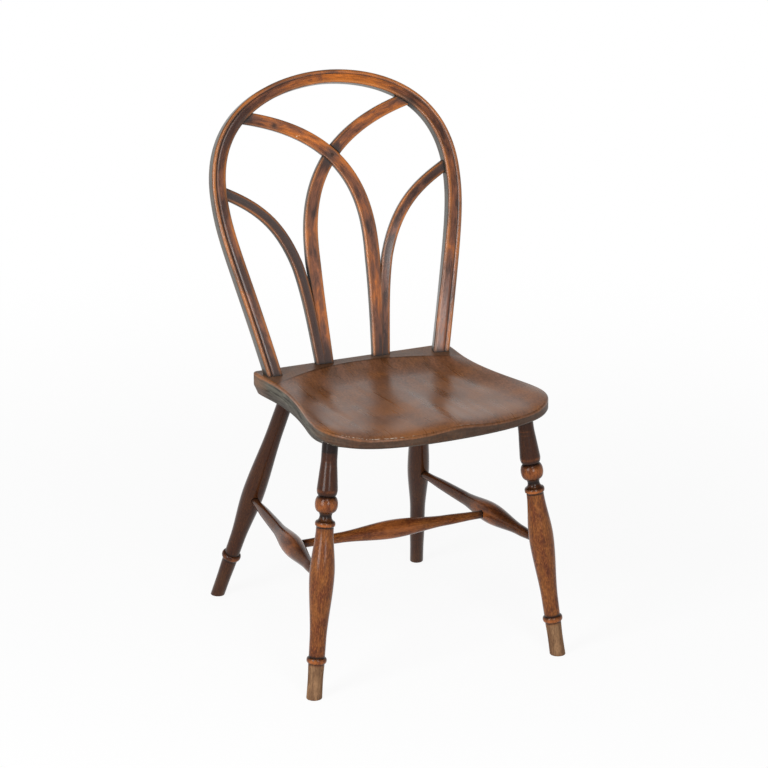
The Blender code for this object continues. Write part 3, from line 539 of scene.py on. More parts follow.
def bend(x, w, d, arc):
    """Carries flat points to a circular arc: x across, w up the back, d out of the front face."""
    foot_y, lean, radius = arc
    turn = lean + w / radius
    y = foot_y + radius * math.cos(lean) - (radius + d) * np.cos(turn)
    z = SEAT_HEIGHT - radius * math.sin(lean) + (radius + d) * np.sin(turn)
    return np.stack(np.broadcast_arrays(x, y, z), axis=-1)


def unbend(points, arc):
    """The flat (x, w, d) of points in space."""
    foot_y, lean, radius = arc
    y = foot_y + radius * math.cos(lean) - points[..., 1]
    z = points[..., 2] - SEAT_HEIGHT + radius * math.sin(lean)
    return points[..., 0], (np.arctan2(z, y) - lean) * radius, np.hypot(y, z) - radius


def arch_arc(meets, behind, radius):
    """The arc of an arch from its foot to a place behind the bow's front, and its length."""
    _, y, z = bend(0, meets, -behind, BOW_ARC)
    half_turn = math.asin(math.hypot(y - ARCH_FOOT_Y, z - SEAT_HEIGHT) / 2 / radius)
    lean = math.atan2(y - ARCH_FOOT_Y, z - SEAT_HEIGHT) - half_turn
    return (ARCH_FOOT_Y, lean, radius), 2 * half_turn * radius


def bow_line():
    """The bow from foot to foot over its crown. Its right limb is turned in and wider towards the foot."""
    leg = 0.66 * BOW_WIDEST + BELOW
    right = [
        knot(BOW_HALF, BOW_WIDEST, (0, 0.85 * BOW_SHOULDER), (0, -0.22 * BOW_WIDEST), 0.93),
        knot(BOW_FOOT_X - BOW_SPLAY * BELOW, -BELOW, (BOW_SPLAY * leg, leg)),
    ]
    crown = knot(0, BOW_RISE, (-0.31 * BOW_HALF, 0), (0.31 * BOW_HALF, 0), 0.83)
    left = [Knot(k.at, k.after, k.before, k.slim) for k in reversed(mirrored(right))]
    line = centre_line([*left, crown, *right])
    right_foot = (line.x > 0) * (1 - rise(line.w, 0.04, 0.28))
    return line._replace(turn=BOW_TURN * right_foot, slim=line.slim * (1 + BOW_WIDER * right_foot))


BOW_LINE = bow_line()
BOW_WALLS = (BOW_LINE, BOW_ARC, BOW_WIDTH, BOW_DEPTH, BOW_EASE)
LONG_ARC, LONG_LENGTH = arch_arc(LONG_MEETS, LONG_BEHIND, LONG_RADIUS)
SHORT_ARC, SHORT_LENGTH = arch_arc(SHORT_MEETS, SHORT_BEHIND, SHORT_RADIUS)


def bow_x(w):
    """Half-width of the bow's centre line at a distance up the back."""
    near = np.abs(BOW_LINE.w - w) + np.where(BOW_LINE.x < 0, 1, 0)
    return BOW_LINE.x[near.argmin()]


def long_line(side):
    """A long arch: the left one starts left of the middle and ends in the bow's right shoulder."""
    end_x = bow_x(LONG_MEETS) - 0.0105
    climb = LONG_LENGTH - LONG_WAIST
    leave = 0.34 * LONG_WAIST
    path = [
        knot(-LONG_FOOT_X + LONG_SPLAY * BELOW, -BELOW, after=(-LONG_SPLAY * leave, leave)),
        knot(-LONG_WAIST_X, LONG_WAIST, (0, -0.33 * LONG_WAIST), (0, 0.245 * climb)),
        knot(end_x, LONG_LENGTH, (-0.0632 - end_x, -0.20 * climb), slim=0.82),
    ]
    return centre_line(path if side == "left" else mirrored(path))


def short_line(side):
    """A short arch, from a pair's foot to the bow's side. The right one is turned in half way up."""
    end_x = bow_x(SHORT_MEETS) - 0.0023
    run = end_x - SHORT_FORK_X
    climb = SHORT_LENGTH - SHORT_FORK
    leave = 0.41 * SHORT_FORK
    arrive = 0.31 * SHORT_FORK
    path = [
        knot(SHORT_FOOT_X - SHORT_SPLAY * BELOW, -BELOW, after=(SHORT_SPLAY * leave, leave)),
        knot(SHORT_FORK_X, SHORT_FORK, (-0.265 * arrive, -arrive), (0.195 * run, 0.56 * climb)),
        knot(end_x, SHORT_LENGTH, (-0.49 * run, -0.218 * climb)),
    ]
    if side == "left":
        return centre_line(mirrored(path))
    line = centre_line(path)
    return line._replace(turn=-SHORT_TURN * hump(line.w, 0.19, 0.11))


LONG_LINES = {side: long_line(side) for side in SIDES}
SHORT_LINES = {side: short_line(side) for side in SIDES}

# The back's bars: sections and surfaces


def half_moulding(half, depth, bead, ease, rubbed, groove):
    """Half of a bar's section as rows of (across, out, edge, dirt, wall), from the back to mid-face.

    It is an eased back edge, a wall, a rounded front edge and half of a flat. Where there is a groove, the
    rounded edge is a bead, and the flat has a slight crown. Edge says how far the wood is rubbed, on the
    rounded edge and towards the flat's border. Dirt is the grime in the groove, and wall the sides and back.
    """
    turn = np.radians(np.linspace(270, 180, 7))
    corner = np.stack((ease - half + ease * np.cos(turn), ease - depth + ease * np.sin(turn)), 1)
    wall = np.stack((np.full(4, -half), np.linspace(ease - depth, -bead, 6)[1:-1]), 1)
    turn = np.radians(np.linspace(180, 38 if groove else 96, 12))
    over = np.stack((bead - half + bead * np.cos(turn), bead * np.sin(turn) - bead), 1)
    over_edge = np.sin(np.linspace(0.1, 2.9 if groove else 1.6, 12)) ** 2
    over_dirt = 0.2 * (np.arange(12) == 11)
    line = np.array([(share * bead - half, -0.5 * bead) for share in (2.0, 2.12)]) if groove else over[:0]
    flat = np.linspace((2.3 if groove else 1.3) * bead - half, 0, 8)
    share = (flat / flat[0]) ** 2
    flat = np.stack((flat, -0.05 * bead - bead * (0.16 if groove else -0.04) * share), 1)
    parts = (
        (corner, 0.25, 0, np.linspace(0.2, 1, 7)),
        (wall, 0, 0, 1),
        (over, over_edge, over_dirt, np.linspace(1, 0, 12) ** 2),
        (line, 0, 1, 0),
        (flat, 0.4 * share**3, 0.2 * share**4, 0),
    )
    rows = []
    for places, *marks in parts:
        marks = [np.broadcast_to(mark, len(places)) for mark in marks]
        rows.append(np.column_stack((places, *marks)))
    return np.vstack(rows) * (1, 1, rubbed, groove, 1)


def moulding(width, depth, bead, ease, rubbed, groove=0.0):
    """A bar's section as (across, out, edge, dirt, wall), a closed loop. A groove is on its outer side."""
    half = width / 2
    left = half_moulding(half, depth, bead, ease, rubbed, 0.0)
    right = half_moulding(half, depth, bead, ease, rubbed, groove)[:-1][::-1] * (-1, 1, 1, 1, 1)
    back = np.linspace(half - ease, ease - half, 6)[1:-1]
    back = np.column_stack((back, np.full(4, -depth), np.zeros(4), np.zeros(4), np.full(4, 0.15)))
    return np.vstack((left, right, back)).T


def crossing(values, s):
    """For each column, the first place in s where its values fall through zero."""
    first = ((values[:-1] > 0) & (values[1:] <= 0)).argmax(0)
    columns = np.arange(values.shape[1])
    before = values[first, columns]
    after = values[first + 1, columns]
    return s[first] + (s[first + 1] - s[first]) * before / (before - after)


def carried(line, arc, s, across, out):
    """Points of a section carried along a line, turned about the middle of the bow's depth, and bent."""
    slim = np.interp(s, line.s, line.slim)
    turn = np.interp(s, line.s, line.turn)
    deep = out + BOW_DEPTH / 2
    out = across * np.sin(turn) + deep * np.cos(turn) - BOW_DEPTH / 2
    across = across * np.cos(turn) - deep * np.sin(turn)
    x = np.interp(s, line.s, line.x) + across * slim * np.interp(s, line.s, line.nx)
    w = np.interp(s, line.s, line.w) + across * slim * np.interp(s, line.s, line.nw)
    return bend(x, w, out * slim, arc)


def clear_of(points, line, arc, width, depth, ease):
    """How far points lie outside the walls of another bar, whose back edges are eased."""
    x, w, d = unbend(points, arc)
    off = np.hypot(x[..., None] - line.x[::2], w[..., None] - line.w[::2])
    near = off.argmin(-1)
    slim = line.slim[::2][near]
    into_edge = np.clip(ease - depth * slim - d, 0, ease)
    half = slim * width / 2 - ease + np.sqrt(ease**2 - into_edge**2)
    return off.min(-1) - half


def foot_cut(line, arc, across, out, start, step):
    """Where each line of a section meets the seat's ledge, going along the bar or back from its end."""
    s = start + step * np.linspace(0, LEDGE_REACH, LEDGE_STEPS)
    level = SEAT_HEIGHT + GAP - carried(line, arc, s[:, None], across, out)[..., 2]
    return crossing(step * level, s)


def wall_cut(line, arc, across, out, start, run, walls, leaving=False):
    """Where each line of a section enters or leaves the walls of another bar, in a run of its length."""
    s = start + np.linspace(0, run, WALL_STEPS)
    clear = clear_of(carried(line, arc, s[:, None], across, out), *walls) - GAP
    return crossing(-clear if leaving else clear, s)


def bar(line, arc, section, keys, counts, outs, worn, joints):
    """Rows of a bar's section between key cuts, which may slope: distances along it, points, grain and wear.

    A dark band lies along those of its cuts that are joints: dirt, and a painted shadow where another piece
    meets or lies over this one. The wood is less rubbed near them.
    """
    across, _, edge, dirt, wall = section
    s = []
    out = []
    for start, end, count, depth in zip(keys, keys[1:], counts, outs):
        share = np.linspace(0, 1, count)[:, None]
        s.append(start + (end - start) * share)
        out.append(np.broadcast_to(depth, (count, len(depth))))
    s = np.vstack(s)
    out = np.vstack(out)
    grid = carried(line, arc, s, across, out)
    offset = GRAIN_SHIFT * line.x[0]
    grain = np.stack((s + offset, np.broadcast_to(across, s.shape), out + 0.3 * offset), axis=-1)
    joint = np.min([np.abs(s - cut) for cut in joints], axis=0)
    # dark band at the joints: dirt, and a painted shadow where another piece meets or lies over this one
    darkening = np.maximum(dirt, np.exp(-joint / JOINT_DIRT_AND_SHADOW))
    rubbed = worn(grid[..., 2], s) - 0.8 * np.exp(-joint / JOINT_DARK)
    return s, grid, grain, np.stack(np.broadcast_arrays(edge, darkening, wall, rubbed), axis=-1)


def shell(grid, grain, wear):
    """A closed shell of a grid, with its places in the wood and its wear."""
    points, faces = surface(grid)
    return points, faces, {"grain": with_ends(grain), "wear": with_ends(wear)}


def tenon(x, sign):
    """Half of the bow's round end through the seat: a half disc, carried along the leg between level cuts."""
    base = bend(x, 0.0, -BOW_DEPTH / 2, BOW_ARC)
    along = bend(x + BOW_SPLAY * math.copysign(0.001, x), 0.001, -BOW_DEPTH / 2, BOW_ARC) - base
    along /= np.linalg.norm(along)
    outward = bend(x, 0.0, 0.0, BOW_ARC) - base
    outward /= np.linalg.norm(outward)
    across = np.cross(outward, along)
    kerf = WEDGE_HEAD / 2 + GAP
    start = math.asin(2 * kerf / BOW_TENON)
    turn = np.linspace(start, math.pi - start, 17)[:, None]
    disc = base + BOW_TENON / 2 * (np.cos(turn) * across + sign * np.sin(turn) * outward)
    levels = np.array((SEAT_HEIGHT, UNDERSIDE))[:, None, None]
    grid = disc + (levels - disc[None, :, 2:]) / along[2] * along
    wear = np.broadcast_to((0.0, 0.3, 1.0, 0.2), (2, 17, 4))
    return shell(grid, grid[..., [2, 0, 1]], wear)


def make_bow():
    """The bent bow from ledge to ledge, with a round end below each leg.

    It is rubbed over its crown and down its right limb, whose lighter foot is partly a painted sheen.
    Its inner wall is darkened where the long arches end in it, a painted shade.
    """
    section = moulding(BOW_WIDTH, BOW_DEPTH, BOW_BEAD, BOW_EASE, 0.75, 0.8)
    across, out = section[:2]
    end = BOW_LINE.s[-1]
    keys = [foot_cut(BOW_LINE, BOW_ARC, across, out, start, step) for start, step in ((0.0, 1), (end, -1))]
    joint = BOW_LINE.s[np.abs(BOW_LINE.w - LONG_MEETS + 1.0 * (BOW_LINE.x > 0)).argmin()]

    def at_joints(s):
        """A bell about the end of each long arch."""
        return hump(s, joint, 0.028) + hump(s, end - joint, 0.028)

    def worn(z, s):
        """Rubbed-through wax by height, less at joints; low on the right limb also a painted sheen."""
        # the right limb is more rubbed all the way up, and lighter again below about 0.5 m: a painted sheen
        # on the wear
        limbs_rubbed_and_sheen = np.where(s > s.mean(), 0.55 - 0.33 * rise(z, 0.50, 0.64), -0.02)
        crown = 0.50 * rise(z, 0.835, 0.892)
        return limbs_rubbed_and_sheen + crown - 0.3 * at_joints(s)

    s, grid, grain, wear = bar(BOW_LINE, BOW_ARC, section, keys, (BOW_ROWS,), (out,), worn, keys)
    inner = across < 1.6 * BOW_BEAD - BOW_WIDTH / 2
    # painted shade: the inner wall is darkened beside the end of each long arch
    wear[..., 1] = np.maximum(wear[..., 1], 0.75 * inner * at_joints(s) ** 3)
    shells = [shell(grid, grain, wear)]
    shells += [tenon(side * BOW_FOOT_X, half) for side in (-1, 1) for half in (-1, 1)]
    piece("waxed_bow", shells, "yew", "bow")


def scarfed(grid, grain, wear, side, keep):
    """A shell on one side of the sloping plane where a long and a short arch meet, darkened along that joint.
    """
    height = (grid[..., 2] - SEAT_HEIGHT) / math.cos(LONG_ARC[1])
    plane = SCARF_X + SCARF_SPLAY * height + keep * GAP / 2
    limit = np.maximum if keep > 0 else np.minimum
    x = limit(side * grid[..., 0], plane)
    # a dark joint line, widened below the fork into a painted shadow in the gap between the two arches
    seam_dirt_and_shadow = np.exp(-np.abs(x - plane) / 0.0018) * (0.25 + 0.75 * hump(height, SHORT_FORK - 0.015, 0.036))
    wear[..., 1] = np.maximum(wear[..., 1], seam_dirt_and_shadow)
    return shell(np.concatenate((side * x[..., None], grid[..., 1:]), axis=-1), grain, wear)


def make_long_arch(side):
    """A long arch. Where the two cross, each loses half of its depth: the right one keeps its front half.

    It is rubbed over its upper part and half way up. Spots on its face are dark knots and pale chips.
    """
    line = LONG_LINES[side]
    section = moulding(LONG_WIDTH, ARCH_DEPTH, ARCH_BEAD, ARCH_EASE, 0.8)
    across, out, *_, wall = section
    sweep = (line, LONG_ARC, across, out)
    foot = foot_cut(*sweep, 0.0, 1)
    middle = line.s[1:][line.x[1:] * line.x[:-1] <= 0][0]
    other = LONG_LINES["left" if side == "right" else "right"]
    crossed = (other, LONG_ARC, LONG_WIDTH, 1.0, 0.0001)  # walls as if deep, with sharp edges
    enter = wall_cut(*sweep, middle - LAP_REACH, LAP_REACH, crossed)
    leave = wall_cut(*sweep, middle, LAP_REACH, crossed, leaving=True)
    end = wall_cut(*sweep, line.s[-1] - BOW_REACH, BOW_REACH, BOW_WALLS)
    keys = (foot, enter, leave, end)
    step = LAP / np.interp(middle, line.s, line.slim)
    if side == "right":
        lapped = np.maximum(out, step + GAP / 2)
        joints = (foot, end)
        rubbed_low = 0.35
        top = end.mean()
        knots = ((top - 0.0485, 0.002, 0.0075, 0.9), (middle, 0.0, 0.0095, 0.75))
        chips = ((top - 0.092, 0.007, 0.0024, 1.6), (top - 0.096, 0.004, 0.0020, 1.6))
    else:
        lapped = np.minimum(out, step - GAP / 2)
        # its cuts at the crossing count as joints too: there the dark band is a painted shadow of the right
        # arch
        joints = keys
        rubbed_low = 0.55
        knots = ()
        chips = ((middle + 0.026, 0.001, 0.0020, 1.6),)

    def worn(z, s):
        """How far the wax is rubbed through: by height, and less at the crossing."""
        high = 0.62 * rise(z, 0.66, 0.80)
        low = rubbed_low * hump(z, 0.53, 0.08)
        return 0.12 + high + low - 0.25 * hump(s, middle, 0.012)

    outs = (out, lapped, out)
    s, grid, grain, wear = bar(line, LONG_ARC, section, keys, LONG_ROWS, outs, worn, joints)
    for mark, spots in ((1, knots), (0, chips)):
        for at, off, size, share in spots:
            wear[..., mark] += share * hump(np.hypot(s - at, across - off), 0, size) * (wall < 0.5)
    shells = [scarfed(grid, grain, wear, SIDES[side], -1)]
    piece(f"waxed_long_arch_{side}", shells, "yew", f"long_arch_{side}")


def make_short_arch(side):
    """A short arch from its scarf to the bow's side. The left one keeps its dark wax, with grime high up."""
    line = SHORT_LINES[side]
    section = moulding(SHORT_WIDTH, ARCH_DEPTH, ARCH_BEAD, ARCH_EASE, 0.8 if side == "right" else 0.5)
    across, out, edge = section[:3]
    foot = foot_cut(line, SHORT_ARC, across, out, 0.0, 1)
    end = wall_cut(line, SHORT_ARC, across, out, line.s[-1] - BOW_REACH, BOW_REACH, BOW_WALLS)
    keys = (foot, end)
    rubbed_low = -0.40 if side == "left" else 0.08

    def worn(z, _):
        """How far the wax is rubbed through: a little more higher up."""
        return rubbed_low + 0.08 * rise(z, 0.55, 0.70)

    _, grid, grain, wear = bar(line, SHORT_ARC, section, keys, (SHORT_ROWS,), (out,), worn, keys)
    if side == "left":
        darkening = 0.38 * (edge < 0.2) * rise(grid[..., 2], 0.52, 0.60)
        wear[..., 1] = np.maximum(wear[..., 1], darkening)
    shells = [scarfed(grid, grain, wear, SIDES[side], 1)]
    piece(f"waxed_short_arch_{side}", shells, "yew", f"short_arch_{side}")


# The seat


def seat_outline():
    """Even steps round the seat's edge, along cubic spans and their mirror image, and the outward normals."""
    back = np.array((0, SEAT_BACK))
    corner = np.array(((CORNER, 0), (0.4 * CORNER, 0), (0, 0.4 * CORNER), (0, CORNER)))
    corner = np.array((SEAT_HALF_BACK, SEAT_BACK)) - corner
    waist = np.array((SEAT_HALF_WAIST, WAIST_Y))
    widest = np.array((SEAT_HALF_FRONT, WIDEST_Y))
    front = np.array((0, SEAT_FRONT))
    back_run = np.array((0, SEAT_BACK - WAIST_Y))
    side_run = np.array((0, WAIST_Y - WIDEST_Y))
    front_run = np.array((0, WIDEST_Y - SEAT_FRONT))
    spans = (
        (back, back + (corner[0] - back) / 3, back + (corner[0] - back) * 2 / 3, corner[0]),
        corner,
        (corner[3], corner[3] - 0.30 * back_run, waist + 0.35 * back_run, waist),
        (waist, waist - 0.42 * side_run, widest + 0.23 * side_run, widest),
        (widest, widest - 0.66 * front_run, front + (0.68 * SEAT_HALF_FRONT, 0), front),
    )
    t = np.linspace(0, 1, 300)[1:, None]
    half = np.vstack((back, *(cubic(t, *span) for span in spans)))
    loop = np.vstack((half, half[-2:0:-1] * (-1, 1), half[:1]))
    length = run_along(loop)
    s = np.linspace(0, length[-1], SEAT_STEPS, endpoint=False)
    points = np.stack((np.interp(s, length, loop[:, 0]), np.interp(s, length, loop[:, 1])), 1)
    way = np.roll(points, -1, 0) - np.roll(points, 1, 0)
    way /= np.linalg.norm(way, axis=1)[:, None]
    return points, np.stack((-way[:, 1], way[:, 0]), 1)


def ledge_way(x, y):
    """How far a point lies in front of the ledge's curved front edge."""
    return SEAT_BACK - LEDGE_DEPTH - LEDGE_CORNER_DEPTH * (x / SEAT_HALF_BACK) ** 2 - y


def saddle(x, y):
    """Depth of the dish: it falls from the ledge and the sides, and rises to the front and a low pommel."""
    ahead = rise((WAIST_Y - y) / (WAIST_Y - WIDEST_Y))
    half = SEAT_HALF_WAIST + (SEAT_HALF_FRONT - SEAT_HALF_WAIST) * ahead
    fall = np.clip(ledge_way(x, y) / LEDGE_RUN, 0, 1)
    behind = 0.45 * (1 - (1 - fall) ** 3) * rise(fall, 0, 0.06) + 0.55 * rise(fall)
    beside = rise((half - np.abs(x)) / SIDE_RUN)
    forward = rise((WAIST_Y - y) / (WAIST_Y - SEAT_FRONT))
    pommel = np.exp(-((x / POMMEL_HALF) ** 2)) * forward
    return (SADDLE_DEPTH - FRONT_LIFT_DEPTH * forward) * behind * beside * (1 - pommel)


def skewed(grid):
    """The old seat is out of true: its front leans right, and its left front corner leads."""
    x, y, z = np.moveaxis(grid, -1, 0)
    forward = SEAT_BACK - y
    lead = SEAT_TWIST * x * forward / (SEAT_BACK - SEAT_FRONT)
    return np.stack((x + SEAT_SKEW * forward, y + lead, z), axis=-1)


def lifted(plan, z):
    """Points of a plan at heights z."""
    shape = np.broadcast_shapes(plan.shape[:-1], np.shape(z))
    return np.concatenate((np.broadcast_to(plan, (*shape, 2)), np.broadcast_to(z, shape)[..., None]), axis=-1)


def seat_rows(outline, normal, front):
    """Loops of the seat's outline in five parts, at heights from the ledge.

    They go out over the dish, round the worn edge, down the wall, in along the bevel and under to the middle.
    """
    y = outline[:, 1]
    middle = np.array((0, (SEAT_BACK + SEAT_FRONT) / 2))
    radius = WORN_EDGE + WORN_FRONT * front
    inset = outline - normal * radius[:, None]
    shares = 1 - (1 - np.linspace(0.02, 1, DISH_ROWS)) ** 1.25
    dish = middle + (inset - middle) * shares[:, None, None]
    away = (1 - shares)[:, None] * np.linalg.norm(inset - middle, axis=1) / ROLL_BACK
    roll = FRONT_ROLL * rise(-y, 0.06, 0.20) * away * np.exp(1 - away)

    turn = np.radians(np.linspace(10, 90, 9))[:, None]
    edge = inset + normal * (radius * np.sin(turn))[..., None]
    rim = -saddle(inset[:, 0], inset[:, 1])
    top = rim - radius
    side = rise((y - SEAT_FRONT) / (WIDEST_Y - SEAT_FRONT) - 0.3)
    foot = SEAT_EDGE_CORNER * hump(y, WIDEST_Y, 0.06)
    foot = foot - SEAT_EDGE_FRONT - (SEAT_EDGE_SIDE - SEAT_EDGE_FRONT) * side
    wall_share = np.linspace(0, 1, 9)[1:, None]

    under_x = UNDER_X_BACK + (UNDER_X_FRONT - UNDER_X_BACK) * rise(-y, -0.06, 0.12)
    under = np.stack((outline[:, 0] * under_x, SEAT_BACK + (y - SEAT_BACK) * UNDER_Y), 1)
    bevel_share = np.array((0.04, 0.10, 0.3, 0.5, 0.7, 0.88, 0.97, 1.0))[:, None]
    bevel = outline + (under - outline) * bevel_share[..., None]
    under_share = np.linspace(1, 0.02, 12)[1:, None, None]
    return (
        lifted(dish, roll - saddle(dish[..., 0], dish[..., 1])),
        lifted(edge, rim - radius * (1 - np.cos(turn))),
        lifted(outline, top + (foot + 0.002 - top) * wall_share),
        lifted(bevel, foot - (SEAT_THICK + foot) * bevel_share),
        lifted(middle + (under - middle) * under_share, -SEAT_THICK),
    )


def seat_wear(rows, outline, front):
    """Wear and painted light on the seat: a rubbed edge and front, grimy lines, grey sides and a chipped
    edge.
    """
    grid = np.vstack(rows)
    x, y, _ = np.moveaxis(grid, -1, 0)
    part = np.repeat(np.arange(len(rows)), [len(row) for row in rows])[:, None]
    dish, edge, wall, bevel, under = (part == i for i in range(len(rows)))
    row = np.arange(len(grid))[:, None] - len(rows[0])
    way = ledge_way(x, y)
    behind = rise(outline[:, 1], 0.06, 0.10)
    rubbed = edge * bands(row, ((0.0, 1.8, 0.9), (8.0, 1.6, 0.5))) * (1 - 0.75 * front)
    # the lighter front half of the dish is wear, and partly a painted sheen
    rubbed = rubbed + 0.35 * hump(row, -2.0, 1.5) * (1 - front) + dish * 0.4 * rise(-y, 0.02, 0.18)
    ledge_line = 0.55 * hump(way, 0.002, 0.0022)
    # the under bevel's darkening is dirt and partly a painted shade beneath the seat's edge
    darkening = np.select([dish, edge, wall, bevel], [ledge_line, 0.22 * front, 0.62 * front, 0.4])
    # dull grey share on the ledge, walls, bevel and underside: partly a dull finish, partly a painted
    # reflection of the bright surround
    ledge_dull_and_sheen = 0.35 * (1 - rise(way, -0.006, 0.004))
    sides = [1 - 0.6 * front - 0.5 * behind, 0.9 - 0.4 * behind, ledge_dull_and_sheen]
    dull = np.select([wall, bevel | under, dish], sides)
    chips = rise(x, -0.19, -0.17) * (1 - rise(x, -0.09, -0.06)) + 0.6 * hump(x, 0.014, 0.012)
    chipped = chips * (y < WIDEST_Y) * hump(row, 0.5, 1.0)
    return np.stack((rubbed, darkening, dull, chipped), axis=-1)


def make_seat():
    """The seat, with a bored socket for each leg and a hole for each end of the bow."""
    outline, normal = seat_outline()
    front = rise(-outline[:, 1], 0.12, 0.24)
    rows = seat_rows(outline, normal, front)
    points, faces = surface(skewed(np.vstack(rows)) + (0, 0, SEAT_HEIGHT))
    marks = {"wear": with_ends(seat_wear(rows, outline, front))}
    seat = piece("waxed_seat", [(points, faces, marks)], "elm", "seat", sharp=50)
    for sign in SIDES.values():
        for (x, y), splay in LEGS.values():
            mouth = Vector((sign * x, y, UNDERSIDE))
            way = Vector((-sign * splay[0], -splay[1], 1))
            bore(seat, mouth - way * 0.03, mouth + way * LEG_SOCKET, LEG_TENON + 2 * GAP)
        mouth = Vector(bend(sign * BOW_FOOT_X, 0.0, -BOW_DEPTH / 2, BOW_ARC))
        low = Vector(bend(sign * (BOW_FOOT_X - 0.05 * BOW_SPLAY), -0.05, -BOW_DEPTH / 2, BOW_ARC))
        bore(seat, low, mouth + (mouth - low) * 0.3, BOW_TENON + 2 * GAP)


def bore(target, start, end, diameter):
    """Cuts a round hole from one point to another out of a piece."""
    turn = np.linspace(0, 2 * math.pi, 48, endpoint=False)
    axis = end - start
    side = axis.orthogonal().normalized()
    up = axis.normalized().cross(side)
    loop = diameter / 2 * (np.cos(turn)[:, None] * np.array(side) + np.sin(turn)[:, None] * np.array(up))
    points, faces = surface(np.stack((np.array(start) + loop, np.array(end) + loop)))
    mesh = bpy.data.meshes.new("drill")
    mesh.from_pydata(points.tolist(), [], faces)
    drill = bpy.data.objects.new("drill", mesh)
    bpy.context.scene.collection.objects.link(drill)
    target.modifiers.new("flat_faces", "TRIANGULATE")
    change = target.modifiers.new("bore", "BOOLEAN")
    change.operation = "DIFFERENCE"
    change.solver = "EXACT"
    change.object = drill
    bpy.context.view_layer.update()
    cut = bpy.data.meshes.new_from_object(target.evaluated_get(bpy.context.evaluated_depsgraph_get()))
    target.modifiers.clear()
    old = target.data
    target.data = cut
    cut.name = old.name + "_bored"
    bpy.data.meshes.remove(old)
    bpy.data.objects.remove(drill)
    bpy.data.meshes.remove(mesh)


# Legs and stretchers


def eased(start, end, count=12):
    """Marks from one (place, diameter) up to another, with the diameter eased in and out."""
    t = np.arange(count) / count
    return np.stack((start[0] + (end[0] - start[0]) * t, start[1] + (end[1] - start[1]) * rise(t)), 1)


def ring(middle, half, base, diameter, count):
    """Marks over a turned ring of half-round section, from top to bottom."""
    turn = np.linspace(0, math.pi, count + 1)
    return np.stack((middle + half * np.cos(turn), base + (diameter - base) * np.sin(turn)), 1)


def smooth(marks, step=0.0009):
    """A curve through marks that keeps their highs and lows: cubic spans whose slopes are harmonic means."""
    marks = np.vstack(marks)[::-1]
    h, d = marks.T
    slope = np.diff(d) / np.diff(h)
    same = slope[1:] * slope[:-1] > 0
    mean = np.where(same, 2 * slope[1:] * slope[:-1] / np.where(same, slope[1:] + slope[:-1], 1), 0)
    lean = np.concatenate((slope[:1], mean, slope[-1:]))
    at = np.union1d(np.arange(h[0], h[-1], step), h)
    i = np.clip(np.searchsorted(h, at, side="right") - 1, 0, len(h) - 2)
    run = h[i + 1] - h[i]
    t = (at - h[i]) / run
    ends = (2 * t**3 - 3 * t**2 + 1) * d[i] + (3 * t**2 - 2 * t**3) * d[i + 1]
    slopes = (t**3 - 2 * t**2 + t) * lean[i] + (t**3 - t**2) * lean[i + 1]
    return at, ends + run * slopes


def front_leg_marks():
    """A front leg from its tenon down: a vase, a ball, a cove and a ring, a long swell, a ring and a foot."""
    top = UNDERSIDE
    peak = (0.203, 0.0404)
    shank = (0.090, 0.0267)
    return (
        ((top + 0.024, LEG_TENON), (top - 0.012, LEG_TENON), (top - 0.014, LEG_TENON)),
        ((top - 0.037, 0.0292), (top - 0.0615, 0.0331), (top - 0.064, 0.0334), (top - 0.0665, 0.0331)),
        ((top - 0.0690, 0.0322), (top - 0.0722, 0.0300), (top - 0.0736, 0.0274)),
        ring(top - 0.087, 0.0130, 0.0240, 0.0368, 14)[1:-1],
        ((top - 0.1002, 0.0232), (top - 0.1020, 0.0215), (top - 0.1060, 0.0194), (top - 0.1092, 0.0202)),
        ((top - 0.1115, 0.0222), (top - 0.1140, 0.0262), (top - 0.1146, 0.0296), (top - 0.1163, 0.0318)),
        ((top - 0.1180, 0.0326), (top - 0.1200, 0.0325), (top - 0.1216, 0.0316), (top - 0.1226, 0.0296)),
        eased((top - 0.1235, 0.0282), peak),
        eased(peak, shank),
        (shank, (0.0690, 0.0262)),
        ring(0.0625, 0.0050, 0.0264, 0.0326, 10),
        ((0.0560, 0.0262), (0.0300, 0.0246), (-0.0200, 0.0264)),
    )


def rear_leg_marks():
    """A rear leg from its tenon down: a long swell, a ring and a foot."""
    top = UNDERSIDE
    peak = (0.205, 0.0370)
    shank = (0.110, 0.0256)
    return (
        ((top + 0.024, LEG_TENON), (top - 0.014, LEG_TENON)),
        eased((top - 0.067, 0.0266), peak),
        eased(peak, shank),
        (shank, (0.0872, 0.0252)),
        ring(0.0800, 0.0050, 0.0252, 0.0326, 10),
        ((0.0728, 0.0252), (0.0300, 0.0232), (-0.0200, 0.0226)),
    )


LEG_CURVES = {"front": smooth(front_leg_marks()), "rear": smooth(rear_leg_marks())}  # heights and diameters


def axes(low, high):
    """Unit vectors along a line and across it."""
    along = (high - low) / np.linalg.norm(high - low)
    across = np.cross(along, (0.0, 1.0, 0.0) if abs(along[1]) < 0.8 else (1.0, 0.0, 0.0))
    across /= np.linalg.norm(across)
    return along, across, np.cross(along, across)


def turned(h, radius, low, own_axes):
    """Points at a radius about an axis: h along it, every angle round it."""
    along, across, up = own_axes
    turn = np.linspace(0, 2 * math.pi, ROUND_STEPS, endpoint=False)
    h, radius = np.broadcast_arrays(h, radius)
    spoke = np.cos(turn)[:, None] * across + np.sin(turn)[:, None] * up
    return low + h[..., None] * along + radius[..., None] * spoke


def turned_shell(grid, low, own_axes, wear, offset):
    """A shell of a turned grid, with places in the wood measured along and across its axis."""
    points, faces = surface(grid)
    along, across, up = own_axes
    away = points - low
    grain = np.stack((away @ across, away @ up, away @ along), axis=-1) + offset
    return points, faces, {"grain": grain, "wear": with_ends(wear)}


